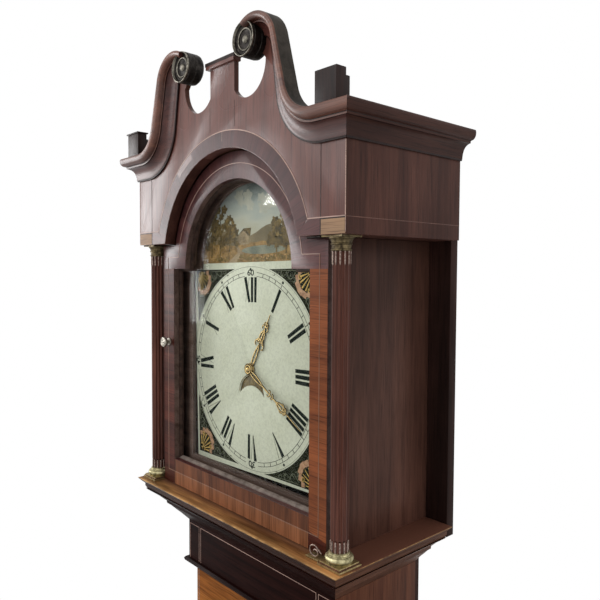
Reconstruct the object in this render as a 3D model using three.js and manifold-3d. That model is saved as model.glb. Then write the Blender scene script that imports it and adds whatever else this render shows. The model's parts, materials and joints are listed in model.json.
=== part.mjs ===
// A longcase clock: panelled case, sliding hood with swan-neck pediment, painted dial and a
// weight-driven movement. Millimetres. +X is the clock's right, +Y is its back, +Z is up.
// Heights are counted from the floor, and depths from the front of the hood's frieze.
import * as THREE from "three";
import { mergeVertices } from "three/addons/utils/BufferGeometryUtils.js";
import Module from "manifold-3d";

const wasm = await Module();
wasm.setup();

// Fits
const seat = 0.3; // gap between pieces that are glued, screwed or rest on each other
const running = 0.5; // gap round a piece that turns or slides
const overrun = 2; // how far a cut runs past what it cuts

// Case as a whole
const hoodDepth = 228; // from the frieze's front to the backboard
const backboardThickness = 16;
const backboardHalf = 237; // where it stands behind the hood
const boardThickness = 16;

// Hood, outside
const doorwayHeight = 409; // from the shelf to the frieze
const friezeHalf = 250;
const friezeHeight = 110;
const cornerClearance = 0.5;
const corniceReach = 25; // how far the cornice stands out
const corniceHeight = 40;
const friezeBoard = 18;
const soffitBoard = 14;
const hoodSideHalf = 200;
const hoodSideBoard = 12;
const tympanumThickness = 18;

// Tympanum outline
const archRadius = 168;
const archDrop = 35; // the arch's centre lies this far under the frieze
const scrollLowX = 212; // centre of the hollow curve of a swan neck
const scrollLowRadius = 48;
const scrollHighX = 100; // centre of the crest's curve
const scrollHighRise = 243;
const scrollHighRadius = 48;
const scrollInset = 12; // the board's edge keeps behind the moulding by this
const neckWidth = 32; // width of the moulding where it starts to curl
const crestWidth = 24; // and where it meets the roundel
const crestEnd = 120; // degrees, where the crest's curve stops
const roundelX = 79;
const roundelRise = 263;
const roundelRadius = 23;
const roundelReach = 23;
const crestThickness = 8; // the board is thinner above the cornice
const plinthHalf = 30;
const plinthRise = 252.5;
const plinthCapReach = 5;
const plinthCapHeight = 7.5;
const piercingHalfHeight = 43.5;
const piercingTopRise = 238;
const piercingWallGap = 1.5; // how far the piercing's edge keeps inside the roundel's
const piercingShare = 0.567; // half of the oval that the piercing follows, of its width

// Finial blocks
const blockInner = 217;
const blockOuter = 253;
const blockFront = 20;
const blockDepth = 16;
const blockHeight = 39;
const stubDepth = 6;
const stubHeight = 30;

// Roof
const roofRise = 134;
const roofThickness = 10;

// Shelf moulding that the hood stands on, and the throat under it
const shelfHalf = 247;
const shelfLowerHalf = 235;
const shelfThickness = 19;
const shelfOpeningHalf = 187;
const throatHeight = 54;

// Columns
const columnX = 224;
const columnY = 20;
const shaftRadius = 11.5;
const fluteDepth = 1.6;
const fluteCount = 12;
const baseSquare = 39;
const basePlate = 6;
const baseHeight = 33;
const torusRadius = 17;
const abacusSquare = 35;
const abacusHeight = 3;
const capitalHeight = 19.5;
const echinusRadius = 15.5;
const sleeveThickness = 1;

// Hood door
const doorHalf = 202;
const doorFront = 19;
const doorThickness = 21;
const doorArchRadius = 166;
const doorUnderGap = 2.6;
const doorOverGap = 2.6;
const glassHalf = 168.4;
const glassBottom = 45; // above the shelf
const glassShoulderDrop = 41;
const glassArchRadius = 132.5;
const rebateWidth = 5;
const rebateDepth = 6;
const glassThickness = 2;
const pivotInset = 3; // the hinge line's distance from the door's edge
const pivotForward = 11; // the hinge line lies in front of the door, so that its arch clears
const pivotRadius = 1.5;
const pivotDepth = 8; // how far a hinge pin enters the shelf or the tympanum
const hingePlate = 1.4;
const hingePlateWidth = 24;
const hingePlateSeat = 12; // how far a hinge plate reaches under or over the door
const knobX = 185;
const knobHeight = 244; // above the shelf
const knobRadius = 8.5;
const knobReach = 17;
const spindleRadius = 2.2;
const catchFront = 43.6;
const catchLength = 12;
const catchHalf = 2.5;
const catchThickness = 1.8;

// Dial mask
const maskFront = 46;
const maskThickness = 6.5;
const maskHalf = 153.5;
const maskBottom = 52; // above the shelf
const maskShoulderDrop = 42;
const maskArchRadius = 130;
const maskRise = 100;

// Dial
const dialHalf = 153;
const dialDrop = 161; // from the hands' centre to the dial's lower edge
const dialRise = 215.5; // dial centre above the shelf
const dialFront = 53.7;
const dialThickness = 1.6;
const dialArchRadius = 133;
const dialTurn = 1.7; // degrees: the dial hangs a little turned
const dialHole = 5.2;
const dialFootRadius = 3;
const dialFootSpread = 48;
const dialFootUp = 44;
const dialFootDown = 95;
const dateDrop = 39.7;
const dateMouthOuter = 29.5;
const dateMouthTop = 26;
const dateDiscRadius = 31;
const dateDiscThickness = 1;
const dateStudRadius = 2;

// Hands
const hourHandFront = 50.8;
const minuteHandFront = 47;
const handThickness = 1.2;
const hourHandLength = 98;
const minuteHandLength = 140;
const hourHandAngle = 29.4;
const minuteHandAngle = 121;
const hourRingRadius = 70;
const minuteRingRadius = 93;
const ringOuter = 7;
const ringInner = 3.6;
const handBossRadius = 9;
const shankHalf = 2.2;
const tipHalf = 0.9;

// Movement
const plateHalf = 55;
const plateAboveDial = 53;
const plateBelowDial = 106;
const plateThickness = 3;
const frontPlateFront = 80;
const plateSpacing = 57; // between the plates
const pillarRadius = 4;
const pillarInset = 5;
const pivotRadiusTrain = 1.5;
const arborRadius = 2.5;
const handStudRadius = 2;
const minutePipeRadius = 3.4;
const hourPipeRadius = 4.6;
const motionWheelFront = 62;
const hourWheelFront = 58.5;
const motionWheelThickness = 1.5;
const toothHeight = 2;
const meshGap = 0.5;
const greatX = 24;
const greatDrop = 56.5;
const greatFront = 92;
const secondX = 28;
const secondDrop = 18.5;
const secondFront = 114;
const escapeDrop = 7.7;
const escapeRadius = 26;
const escapeFront = 120;
const wheelThickness = 2.2;
const pinionRadius = 3.1;
const reportRadius = 4.6; // pinion that drives the hour wheel
const pinionLength = 9;
const wheelHub = 6;
const greatTeeth = 72;
const secondTeeth = 40;
const escapeTeeth = 30;
const motionTeeth = 36;
const hourTeeth = 72;
const strikeTeeth = 60;
const strikeX = 26;
const strikeDrop = 68.5;
const strikeRadius = 30;
const strikeFront = 127;
const countPinRadius = 1.2;
const countPinCircle = 22;
const countPinCount = 8;
const countPinLength = 4;
const sprocketRadius = 15;
const sprocketFlange = 18;
const sprocketFront = 100;
const sprocketWidth = 12;

// Anchor and pendulum
const anchorRise = 37; // above the escape wheel's arbor
const palletInner = 28.4;
const palletOuter = 33;
const palletSpan = 58; // degrees each side of upright
const crutchLength = 80;
const crutchBehind = 8; // behind the back plate
const crutchThickness = 2;
const forkBar = 1.6;
const pendulumShare = 0.47; // its place between the back plate and the backboard
const rodRadius = 3;
const bobDrop = 994;
const bobRadius = 50;
const bobHalfThickness = 14;
const nutRadius = 9;
const nutHeight = 10;
const rodTail = 78;
const springWidth = 8;
const springThickness = 0.8;
const cockThickness = 5;
const cockRise = 10;
const cockHalf = 12;
const cockSlot = 1.2;
const cheekHeight = 7;
const cheekGap = 0.6;
const cheekHalf = 6;

// Strike
const bellRadius = 50;
const bellHeight = 32;
const bellWall = 2.4;
const bellRise = 32; // bell mouth above the plates
const bellPostRadius = 3;
const hammerX = 34;
const hammerDrop = 12;
const hammerFront = 128;
const hammerArm = 2;
const hammerHeadRadius = 6;
const hammerHeadLength = 16;
const hammerHeadX = 60;
const hammerHeadRise = 36;

// Seat board and what hangs from the movement
const seatBoard = 20;
const seatFront = 64;
const seatBack = 158;
const ropeRadius = 2;
const ropeHoleHalf = 8;
const weightX = 1;
const weightY = 137;
const weightRadius = 27;
const weightHeight = 150;
const pulleyRadius = 24;
const pulleyGroove = 20;
const pulleyAxle = 3;
const pulleyWidth = 10;
const weightTop = 660; // top of the weight's shell when run down
const strapHeight = 44;
const strapWidth = 8;
const strapThickness = 2;
const slackY = 98;
const slackDrop = 171.2; // from the seat board down to the centre of the slack rope's bend
const slackRadius = 13;
const ringRadius = 7;
const ringTube = 2.8;

// Trunk
const trunkHalf = 176;
const trunkFront = 68;
const friezePanelHalf = 182;
const friezePanelFront = 55.5;
const friezePanelHeight = 75;
const beadHeight = 9;
const beadReach = 7;
const frontThickness = 18;
const trunkDoorHalf = 118;
const trunkDoorHeight = 640;
const trunkRailHeight = 96; // frame between the throat and the door
const trunkFootRail = 101.7; // frame between the base and the door
const doorGap = 1;
const hingeLength = 50;
const hingeKnuckle = 4;
const hingeLeafWidth = 16;
const hingeLeafThickness = 2;
const hingeFromEnd = 70;
const boltWidth = 26;
const boltHeight = 12;
const boltThickness = 5;
const lockRise = 350; // above the door's bottom
const keyRadius = 2;
const keyReach = 26;
const keyBowRadius = 10;
const keyBowInner = 6;
const keyholeRadius = 2.6;

// Base
const baseHalf = 222;
const baseFrontY = 20;
const baseTop = 566;
const waistHeight = 56;
const plinthTop = 118;
const plinthBoard = 18;
const footWidth = 84;
const footHeight = 62;
const footCurve = 26;
const baseClear = 40; // base boards stop this far above the floor

// Turning and sweeping
const fine = 24;
const coarse = 12;
const arcSteps = 9;
const ropeSides = 6;
const pinSides = 6;

const straightUp = 90;
const rad = THREE.MathUtils.degToRad;

// Places worked out from the sizes
const trunkDoorBottom = baseTop + trunkFootRail;
const trunkTop = trunkDoorBottom + trunkDoorHeight + trunkRailHeight;
const throatBottom = trunkTop + friezePanelHeight;
const throatTop = throatBottom + throatHeight;
const shelfBottom = throatTop + seat;
const shelfTop = shelfBottom + shelfThickness; // the hood's columns and door stand on it
const friezeBottom = shelfTop + doorwayHeight;
const dialCentre = shelfTop + dialRise;
const corniceBottom = friezeBottom + friezeHeight;
const corniceTop = corniceBottom + corniceHeight;
const roofTop = friezeBottom + roofRise + roofThickness;
const backPlateFront = frontPlateFront + plateThickness + plateSpacing;
const backPlateBack = backPlateFront + plateThickness;
const plateTop = dialCentre + plateAboveDial;
const plateBottom = dialCentre - plateBelowDial;
const seatTop = plateBottom - seat;
const greatZ = dialCentre - greatDrop;
const secondZ = dialCentre - secondDrop;
const escapeZ = dialCentre - escapeDrop;
const strikeZ = dialCentre - strikeDrop;
const anchorZ = escapeZ + anchorRise;
const pendulumY = backPlateBack + (hoodDepth - backPlateBack) * pendulumShare;
const slackHeight = seatTop - slackDrop;
const hammerZ = plateTop - hammerDrop;
const ropeY = sprocketFront + sprocketWidth / 2;
const pulleyZ = weightTop + strapHeight;
const knobZ = shelfTop + knobHeight;
const pivotX = doorHalf - pivotInset;
const pivotY = doorFront - pivotForward;
const motionSpan = Math.hypot(greatX, greatDrop);
const motionRadius = (motionSpan - meshGap) / 2;
const hourRadius = motionSpan - reportRadius - meshGap;
const greatRadius = Math.hypot(greatX - secondX, greatDrop - secondDrop) - pinionRadius - meshGap;
const secondRadius = Math.hypot(secondX, secondDrop - escapeDrop) - pinionRadius - meshGap;
const caseBack = hoodDepth + backboardThickness;
const shelfFront = friezePanelFront + friezePanelHalf - shelfHalf;
const middleDepth = (caseBack - corniceReach) / 2;

const clock = new THREE.Group();
clock.position.y = -middleDepth;

// Materials
const finish = (color, roughness, metalness = 0) =>
  new THREE.MeshStandardMaterial({ color, roughness, metalness });
const mahogany = finish("#5a332c", 0.42);
const darkMahogany = finish("#2f1a17", 0.45);
const paleMahogany = finish("#8a4f2a", 0.45);
const pine = finish("#a98252", 0.75);
const brass = finish("#a98d4f", 0.35, 1);
const steel = finish("#6d6c69", 0.4, 1);
const lead = finish("#4c4d4f", 0.6, 0.8);
const cream = finish("#d9dbc6", 0.4);
const gilt = finish("#b08d45", 0.35, 1);
const clearGlass = finish("#dfe6e4", 0.05);
const cotton = finish("#b3a285", 0.9);

// A point list, as [across, up] pairs, as a flat outline.
const outline = (points) => new THREE.Shape(points.map(([a, b]) => new THREE.Vector2(a, b)));

// Turns the faces of a closed geometry outwards.
function facingOut(geometry) {
  const position = geometry.attributes.position;
  const index = geometry.index.array;
  const [a, b, c] = [new THREE.Vector3(), new THREE.Vector3(), new THREE.Vector3()];
  let volume = 0;
  for (let i = 0; i < index.length; i += 3) {
    a.fromBufferAttribute(position, index[i]);
    b.fromBufferAttribute(position, index[i + 1]);
    c.fromBufferAttribute(position, index[i + 2]);
    volume += a.dot(b.cross(c));
  }
  if (volume < 0)
    for (let i = 0; i < index.length; i += 3)
      [index[i + 1], index[i + 2]] = [index[i + 2], index[i + 1]];
  return geometry;
}

// A closed geometry as a solid that can be joined and cut, and back.
function solidOf(geometry) {
  const bare = geometry.clone();
  bare.deleteAttribute("normal");
  bare.deleteAttribute("uv");
  const merged = facingOut(mergeVertices(bare));
  const mesh = new wasm.Mesh({
    numProp: 3,
    vertProperties: merged.attributes.position.array,
    triVerts: new Uint32Array(merged.index.array),
  });
  return new wasm.Manifold(mesh);
}

function geometryOf(solid) {
  const mesh = solid.getMesh();
  const geometry = new THREE.BufferGeometry();
  geometry.setAttribute("position", new THREE.BufferAttribute(mesh.vertProperties, mesh.numProp));
  geometry.setIndex(new THREE.BufferAttribute(mesh.triVerts, 1));
  return geometry;
}

const join = (...parts) => geometryOf(parts.map(solidOf).reduce((a, b) => a.add(b)));
const cut = (body, ...tools) =>
  geometryOf(tools.map(solidOf).reduce((a, b) => a.subtract(b), solidOf(body)));

// A box between two corners.
function block(x0, x1, y0, y1, z0, z1) {
  const box = new THREE.BoxGeometry(x1 - x0, y1 - y0, z1 - z0);
  return box.translate((x0 + x1) / 2, (y0 + y1) / 2, (z0 + z1) / 2);
}

// Flat outlines given thickness: seen from the front, from the side and from above.
const extrude = (shape, depth, curveSegments = arcSteps * 2) =>
  new THREE.ExtrudeGeometry(shape, { depth, bevelEnabled: false, curveSegments });
const frontPanel = (shape, front, back, curveSegments) =>
  extrude(shape, back - front, curveSegments).rotateX(Math.PI / 2).translate(0, back, 0);
const floorPanel = (shape, bottom, top, curveSegments) =>
  extrude(shape, top - bottom, curveSegments).translate(0, 0, bottom);
function sidePanel(shape, left, right, curveSegments) {
  const turned = new THREE.Matrix4().makeBasis(
    new THREE.Vector3(0, 1, 0),
    new THREE.Vector3(0, 0, 1),
    new THREE.Vector3(1, 0, 0),
  );
  return extrude(shape, right - left, curveSegments).applyMatrix4(turned).translate(left, 0, 0);
}

// Round pieces: a profile of [radius, height] pairs about Z, and rods along each axis.
const turnedUp = (profile, segments = fine) =>
  new THREE.LatheGeometry(profile.map(([r, h]) => new THREE.Vector2(r, h)), segments)
    .rotateX(Math.PI / 2);
const turnedForward = (profile, segments = fine) =>
  new THREE.LatheGeometry(profile.map(([r, h]) => new THREE.Vector2(r, h)), segments);
const rodAlongY = (radius, front, back, x, z, segments = coarse) =>
  new THREE.CylinderGeometry(radius, radius, back - front, segments)
    .translate(x, (front + back) / 2, z);
const rodAlongZ = (radius, bottom, top, x, y, segments = coarse) =>
  new THREE.CylinderGeometry(radius, radius, top - bottom, segments)
    .rotateX(Math.PI / 2)
    .translate(x, y, (bottom + top) / 2);

// Carries a closed outline of [u, v] points through a list of places, each with an origin and
// the directions that u and v take there.
function sweep(points, places) {
  const positions = [];
  for (const { origin, u, v } of places)
    for (const [a, b] of points) {
      const spot = origin.clone().addScaledVector(u, a).addScaledVector(v, b);
      positions.push(spot.x, spot.y, spot.z);
    }
  const count = points.length;
  const last = (places.length - 1) * count;
  const index = [];
  for (let ring = 0; ring < last; ring += count)
    for (let i = 0; i < count; i += 1) {
      const next = (i + 1) % count;
      index.push(ring + i, ring + next, ring + count + i);
      index.push(ring + next, ring + count + next, ring + count + i);
    }
  const flat = points.map(([a, b]) => new THREE.Vector2(a, b));
  for (const [a, b, c] of THREE.ShapeUtils.triangulateShape(flat, [])) {
    const turned = THREE.ShapeUtils.isClockWise(flat);
    index.push(...(turned ? [a, b, c] : [a, c, b]));
    index.push(...(turned ? [last + a, last + c, last + b] : [last + a, last + b, last + c]));
  }
  const geometry = new THREE.BufferGeometry();
  geometry.setAttribute("position", new THREE.Float32BufferAttribute(positions, 3));
  geometry.setIndex(index);
  return facingOut(geometry);
}

const place = (x, y, z, u, v) => ({
  origin: new THREE.Vector3(x, y, z),
  u: new THREE.Vector3(...u),
  v: new THREE.Vector3(...v),
});

// Places round the front and both sides of a case, mitred at its corners.
const roundTheCase = (half, front, back) => [
  place(-half, back, 0, [-1, 0, 0], [0, 0, 1]),
  place(-half, front, 0, [-1, -1, 0], [0, 0, 1]),
  place(half, front, 0, [1, -1, 0], [0, 0, 1]),
  place(half, back, 0, [1, 0, 0], [0, 0, 1]),
];

// A toothed wheel about an axis along Y.
function wheel(radius, teeth, front, thickness, x, z) {
  const points = [];
  for (let i = 0; i < teeth; i += 1) {
    const start = (i * 2 * Math.PI) / teeth;
    const tip = start + Math.PI / teeth;
    const root = radius - toothHeight;
    points.push([root * Math.cos(start), root * Math.sin(start)]);
    points.push([radius * Math.cos(tip), radius * Math.sin(tip)]);
  }
  return frontPanel(outline(points), front, front + thickness).translate(x, 0, z);
}

function add(name, geometry, material) {
  const mesh = new THREE.Mesh(geometry, material);
  mesh.name = name;
  clock.add(mesh);
  return mesh;
}

// Adds the right-hand piece and its mirror image on the left.
function addPair(name, geometry, material) {
  add(name + "_right", geometry, material);
  add(name + "_left", geometry, material).scale.x = -1;
}

// Backboard: one board behind base, trunk and hood, wider behind the hood and the base
function backboard() {
  const shape = outline([
    [-baseHalf + boardThickness + seat, baseClear],
    [baseHalf - boardThickness - seat, baseClear],
    [baseHalf - boardThickness - seat, baseTop],
    [trunkHalf, baseTop],
    [trunkHalf, throatTop],
    [backboardHalf, throatTop],
    [backboardHalf, roofTop],
    [-backboardHalf, roofTop],
    [-backboardHalf, throatTop],
    [-trunkHalf, throatTop],
    [-trunkHalf, baseTop],
    [-baseHalf + boardThickness + seat, baseTop],
  ]);
  add("backboard", frontPanel(shape, hoodDepth, caseBack), pine);
}

// Trunk: two sides that rise as cheeks to carry the seat board, and a front frame with its door
function trunk() {
  const frameBack = trunkFront + frontThickness;
  const cheekTop = seatTop - seatBoard - seat;
  const side = outline([
    [frameBack + seat, baseTop - baseClear],
    [hoodDepth - seat, baseTop - baseClear],
    [hoodDepth - seat, cheekTop],
    [frameBack + seat, cheekTop],
  ]);
  addPair("trunk_side", sidePanel(side, trunkHalf - boardThickness, trunkHalf), mahogany);

  const frameBottom = baseTop - baseClear;
  const frame = block(-trunkHalf, trunkHalf, trunkFront, frameBack, frameBottom, throatTop);
  const doorway = block(
    -trunkDoorHalf - doorGap,
    trunkDoorHalf + doorGap,
    trunkFront - overrun,
    frameBack + overrun,
    trunkDoorBottom - doorGap,
    trunkDoorBottom + trunkDoorHeight + doorGap,
  );
  const lockZ = trunkDoorBottom + lockRise;
  const lockY = trunkFront + frontThickness / 2;
  const mortise = block(
    -trunkDoorHalf - boltWidth,
    -trunkDoorHalf,
    lockY - boltThickness / 2 - running,
    lockY + boltThickness / 2 + running,
    lockZ - boltHeight / 2 - running,
    lockZ + boltHeight / 2 + running,
  );
  add("trunk_front_frame", cut(frame, doorway, mortise), paleMahogany);

  const hingeY = trunkFront - hingeKnuckle;
  const hingeX = trunkDoorHalf + doorGap;
  const hinge = (bottom) =>
    join(
      rodAlongZ(hingeKnuckle - seat, bottom, bottom + hingeLength, hingeX, hingeY, coarse),
      block(
        hingeX,
        hingeX + hingeLeafWidth,
        trunkFront - seat - hingeLeafThickness,
        trunkFront - seat,
        bottom,
        bottom + hingeLength,
      ),
    );
  add("trunk_hinge_lower", hinge(trunkDoorBottom + hingeFromEnd), brass);
  add(
    "trunk_hinge_upper",
    hinge(trunkDoorBottom + trunkDoorHeight - hingeFromEnd - hingeLength),
    brass,
  );

  const door = block(
    -trunkDoorHalf,
    trunkDoorHalf,
    trunkFront,
    frameBack,
    trunkDoorBottom,
    trunkDoorBottom + trunkDoorHeight,
  );
  const boltSpace = block(
    -trunkDoorHalf - overrun,
    -trunkDoorHalf + boltWidth + running,
    lockY - boltThickness / 2 - running,
    lockY + boltThickness / 2 + running,
    lockZ - boltHeight / 2 - running,
    lockZ + boltHeight / 2 + running,
  );
  const keyX = -trunkDoorHalf + boltWidth / 2;
  const keyhole = rodAlongY(keyholeRadius, trunkFront - overrun, lockY, keyX, lockZ);
  add("trunk_door", cut(door, boltSpace, keyhole), paleMahogany);

  const bolt = block(
    -trunkDoorHalf + seat,
    -trunkDoorHalf + boltWidth - seat,
    lockY - boltThickness / 2,
    lockY + boltThickness / 2,
    lockZ - boltHeight / 2,
    lockZ + boltHeight / 2,
  );
  add("trunk_lock_bolt", bolt, steel);

  const bowCentre = trunkFront - keyReach;
  const bow = new THREE.Shape().absarc(0, 0, keyBowRadius, 0, 2 * Math.PI, false);
  bow.holes.push(new THREE.Path().absarc(0, 0, keyBowInner, 0, 2 * Math.PI, true));
  const shank = rodAlongY(
    keyRadius,
    bowCentre + keyBowInner + seat,
    lockY - boltThickness / 2 - running,
    keyX,
    lockZ,
    coarse,
  );
  const ring = sidePanel(bow, -keyRadius / 2, keyRadius / 2, coarse)
    .translate(keyX, bowCentre, lockZ);
  add("trunk_key", join(shank, ring), steel);
}

// Frieze panel under the throat, with the bead that ends it
function trunkFrieze() {
  const inner = trunkHalf + seat - friezePanelHalf;
  const beadShares = [
    [0, 1],
    [0.7, 0.95],
    [1, 0.6],
    [0.8, 0.2],
    [0.2, 0],
  ];
  const profile = [[inner, throatBottom], [0, throatBottom]];
  profile.push(...beadShares.map(([out, up]) => [beadReach * out, trunkTop + beadHeight * up]));
  profile.push([inner, trunkTop]);
  add("trunk_frieze", backedMoulding(profile, trunkTop, throatBottom), darkMahogany);
}

// Throat moulding, which carries the hood
function throat() {
  const reach = shelfHalf - friezePanelHalf;
  const inner = trunkHalf + seat - friezePanelHalf;
  const stepShares = [
    [0, 0],
    [0.18, 0.24],
    [0.21, 0.27],
    [0.39, 0.5],
    [0.43, 0.52],
    [0.44, 0.6],
    [0.62, 0.8],
    [0.8, 0.95],
    [0.84, 1],
  ];
  const bottom = throatBottom + seat;
  const rise = throatTop - bottom;
  const profile = stepShares.map(([out, up]) => [reach * out, bottom + rise * up]);
  profile.push([inner, throatTop], [inner, bottom]);
  add("throat_moulding", backedMoulding(profile, bottom, throatTop), darkMahogany);
}

// A moulding round the top of the trunk, packed out at the front to meet the recessed frame.
function backedMoulding(profile, bottom, top) {
  const places = roundTheCase(friezePanelHalf, friezePanelFront, hoodDepth - seat);
  const packing = block(
    -trunkHalf,
    trunkHalf,
    friezePanelFront + overrun,
    trunkFront - seat,
    bottom,
    top,
  );
  return join(sweep(profile, places), packing);
}

// Base: front and side boards, a moulding up to the trunk and a bracket-footed plinth
function base() {
  const front = block(
    -baseHalf,
    baseHalf,
    baseFrontY,
    baseFrontY + boardThickness,
    baseClear,
    baseTop,
  );
  add("base_front", front, mahogany);
  const side = block(
    baseHalf - boardThickness,
    baseHalf,
    baseFrontY + boardThickness + seat,
    caseBack,
    baseClear,
    baseTop,
  );
  addPair("base_side", side, mahogany);

  const reach = baseHalf - trunkHalf;
  const stepShares = [
    [1.1, 0.0],
    [1.1, 0.14],
    [0.96, 0.16],
    [0.8, 0.32],
    [0.52, 0.46],
    [0.36, 0.64],
    [0.32, 0.8],
    [0.16, 0.84],
    [0.12, 1.0],
  ];
  const bottom = baseTop + seat;
  const profile = stepShares.map(([out, up]) => [reach * out, bottom + waistHeight * up]);
  profile.push([seat, bottom + waistHeight], [seat, bottom]);
  add(
    "waist_moulding",
    sweep(profile, roundTheCase(trunkHalf, trunkFront, hoodDepth - seat)),
    mahogany,
  );

  const plinthHalfWidth = baseHalf + seat + plinthBoard;
  const plinthFront = baseFrontY - seat - plinthBoard;
  const skirt = (length) => {
    const shape = new THREE.Shape();
    shape.moveTo(0, 0);
    shape.lineTo(footWidth - footCurve, 0);
    shape.quadraticCurveTo(footWidth, footHeight / 2, footWidth, footHeight);
    shape.lineTo(length - footWidth, footHeight);
    shape.quadraticCurveTo(length - footWidth, footHeight / 2, length - footWidth + footCurve, 0);
    shape.lineTo(length, 0);
    shape.lineTo(length, plinthTop);
    shape.lineTo(0, plinthTop);
    return shape;
  };
  const frontBoard = frontPanel(
    skirt(2 * plinthHalfWidth),
    plinthFront,
    plinthFront + plinthBoard,
    coarse / 2,
  ).translate(-plinthHalfWidth, 0, 0);
  const sideBoard = () =>
    sidePanel(skirt(caseBack - plinthFront), baseHalf + seat, plinthHalfWidth, coarse / 2)
      .translate(0, plinthFront, 0);
  const otherSide = sideBoard().translate(-plinthHalfWidth - baseHalf - seat, 0, 0);
  add("plinth", join(frontBoard, sideBoard(), otherSide), mahogany);
}

// Hood: a shelf open at the back, two sides, and the frieze boards with their cornice
function hoodCarcase() {
  const edge = shelfHalf - shelfLowerHalf;
  const inner = shelfOpeningHalf - shelfLowerHalf;
  const noseShares = [
    [0, 0],
    [0.22, 0.25],
    [0.21, 0.47],
    [0.64, 0.72],
    [1, 0.96],
    [0.92, 1],
  ];
  const profile = noseShares.map(([out, up]) => [edge * out, shelfBottom + shelfThickness * up]);
  profile.push([inner, shelfTop], [inner, shelfBottom]);
  const places = roundTheCase(shelfLowerHalf, shelfFront + edge, hoodDepth - seat);
  const pinHole = pivotHole(shelfTop - pivotDepth - running, shelfTop + overrun);
  add("hood_base", cut(sweep(profile, places), pinHole), paleMahogany);

  const sideInner = hoodSideHalf - hoodSideBoard;
  const sideFront = doorFront + doorThickness + seat;
  const side = block(
    sideInner,
    hoodSideHalf,
    sideFront,
    hoodDepth - seat,
    shelfTop + seat,
    friezeBottom - seat,
  );
  add("hood_side_right", side, mahogany);
  const mortise = block(
    sideInner - overrun,
    knobX + catchLength + running,
    catchFront - running,
    catchFront + catchThickness + running,
    knobZ - catchLength - running,
    knobZ + catchHalf + running,
  );
  add("hood_side_left", cut(side, mortise), mahogany).scale.x = -1;

  const boards = frontPanel(
    outline([
      [sideInner, friezeBottom],
      [friezeHalf, friezeBottom],
      [friezeHalf, corniceBottom],
      [friezeHalf + overrun, corniceBottom],
      [friezeHalf + overrun, corniceTop],
      [friezeHalf - friezeBoard, corniceTop],
      [friezeHalf - friezeBoard, friezeBottom + soffitBoard],
      [sideInner, friezeBottom + soffitBoard],
    ]),
    tympanumThickness + seat,
    hoodDepth - seat,
  );
  const moulding = corniceProfile(0).map(([out, up]) => [out, corniceTop + up]);
  const run = [
    place(friezeHalf, 0, 0, [1, -1, 0], [0, 0, 1]),
    place(friezeHalf, hoodDepth - seat, 0, [1, 0, 0], [0, 0, 1]),
  ];
  addPair("frieze", join(boards, sweep(moulding, run)), mahogany);

  const roof = block(
    -friezeHalf + friezeBoard + seat,
    friezeHalf - friezeBoard - seat,
    tympanumThickness + seat,
    hoodDepth - seat,
    friezeBottom + roofRise,
    friezeBottom + roofRise + roofThickness,
  );
  add("hood_roof", roof, pine);
}

// A hole for a pin of the hood door's hinges.
const pivotHole = (from, to) =>
  rodAlongZ(pivotRadius + running, from, to, pivotX, pivotY, coarse);

// The cornice's outline as [out, up] pairs, up counted down from its top edge.
function corniceProfile(back) {
  const shares = [
    [0.1, -1],
    [0.17, -0.87],
    [0.3, -0.68],
    [0.58, -0.45],
    [0.66, -0.42],
    [0.66, -0.38],
    [0.84, -0.28],
    [0.97, -0.17],
    [1, -0.09],
    [0.96, 0],
  ];
  const points = shares.map(([out, up]) => [corniceReach * out, corniceHeight * up]);
  return [[back, -corniceHeight], ...points, [back, 0]];
}

// Swan neck: a hollow curve from the corner, a straight rise and a crest that ends at the roundel
const lowCentre = [scrollLowX, corniceTop + scrollLowRadius];
const highCentre = [scrollHighX, friezeBottom + scrollHighRise];
const centreLine = [highCentre[0] - lowCentre[0], highCentre[1] - lowCentre[1]];
const climb =
  Math.atan2(centreLine[1], centreLine[0]) -
  Math.asin((scrollLowRadius + scrollHighRadius) / Math.hypot(...centreLine));
const lowEnd = climb - (3 * Math.PI) / 2;
const highStart = climb - Math.PI / 2;

const onCircle = ([x, z], radius, angle) => [
  x + radius * Math.cos(angle),
  z + radius * Math.sin(angle),
];

const roundelRod = (clearance, front, back) =>
  rodAlongY(roundelRadius + clearance, front, back, roundelX, friezeBottom + roundelRise, fine);

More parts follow.
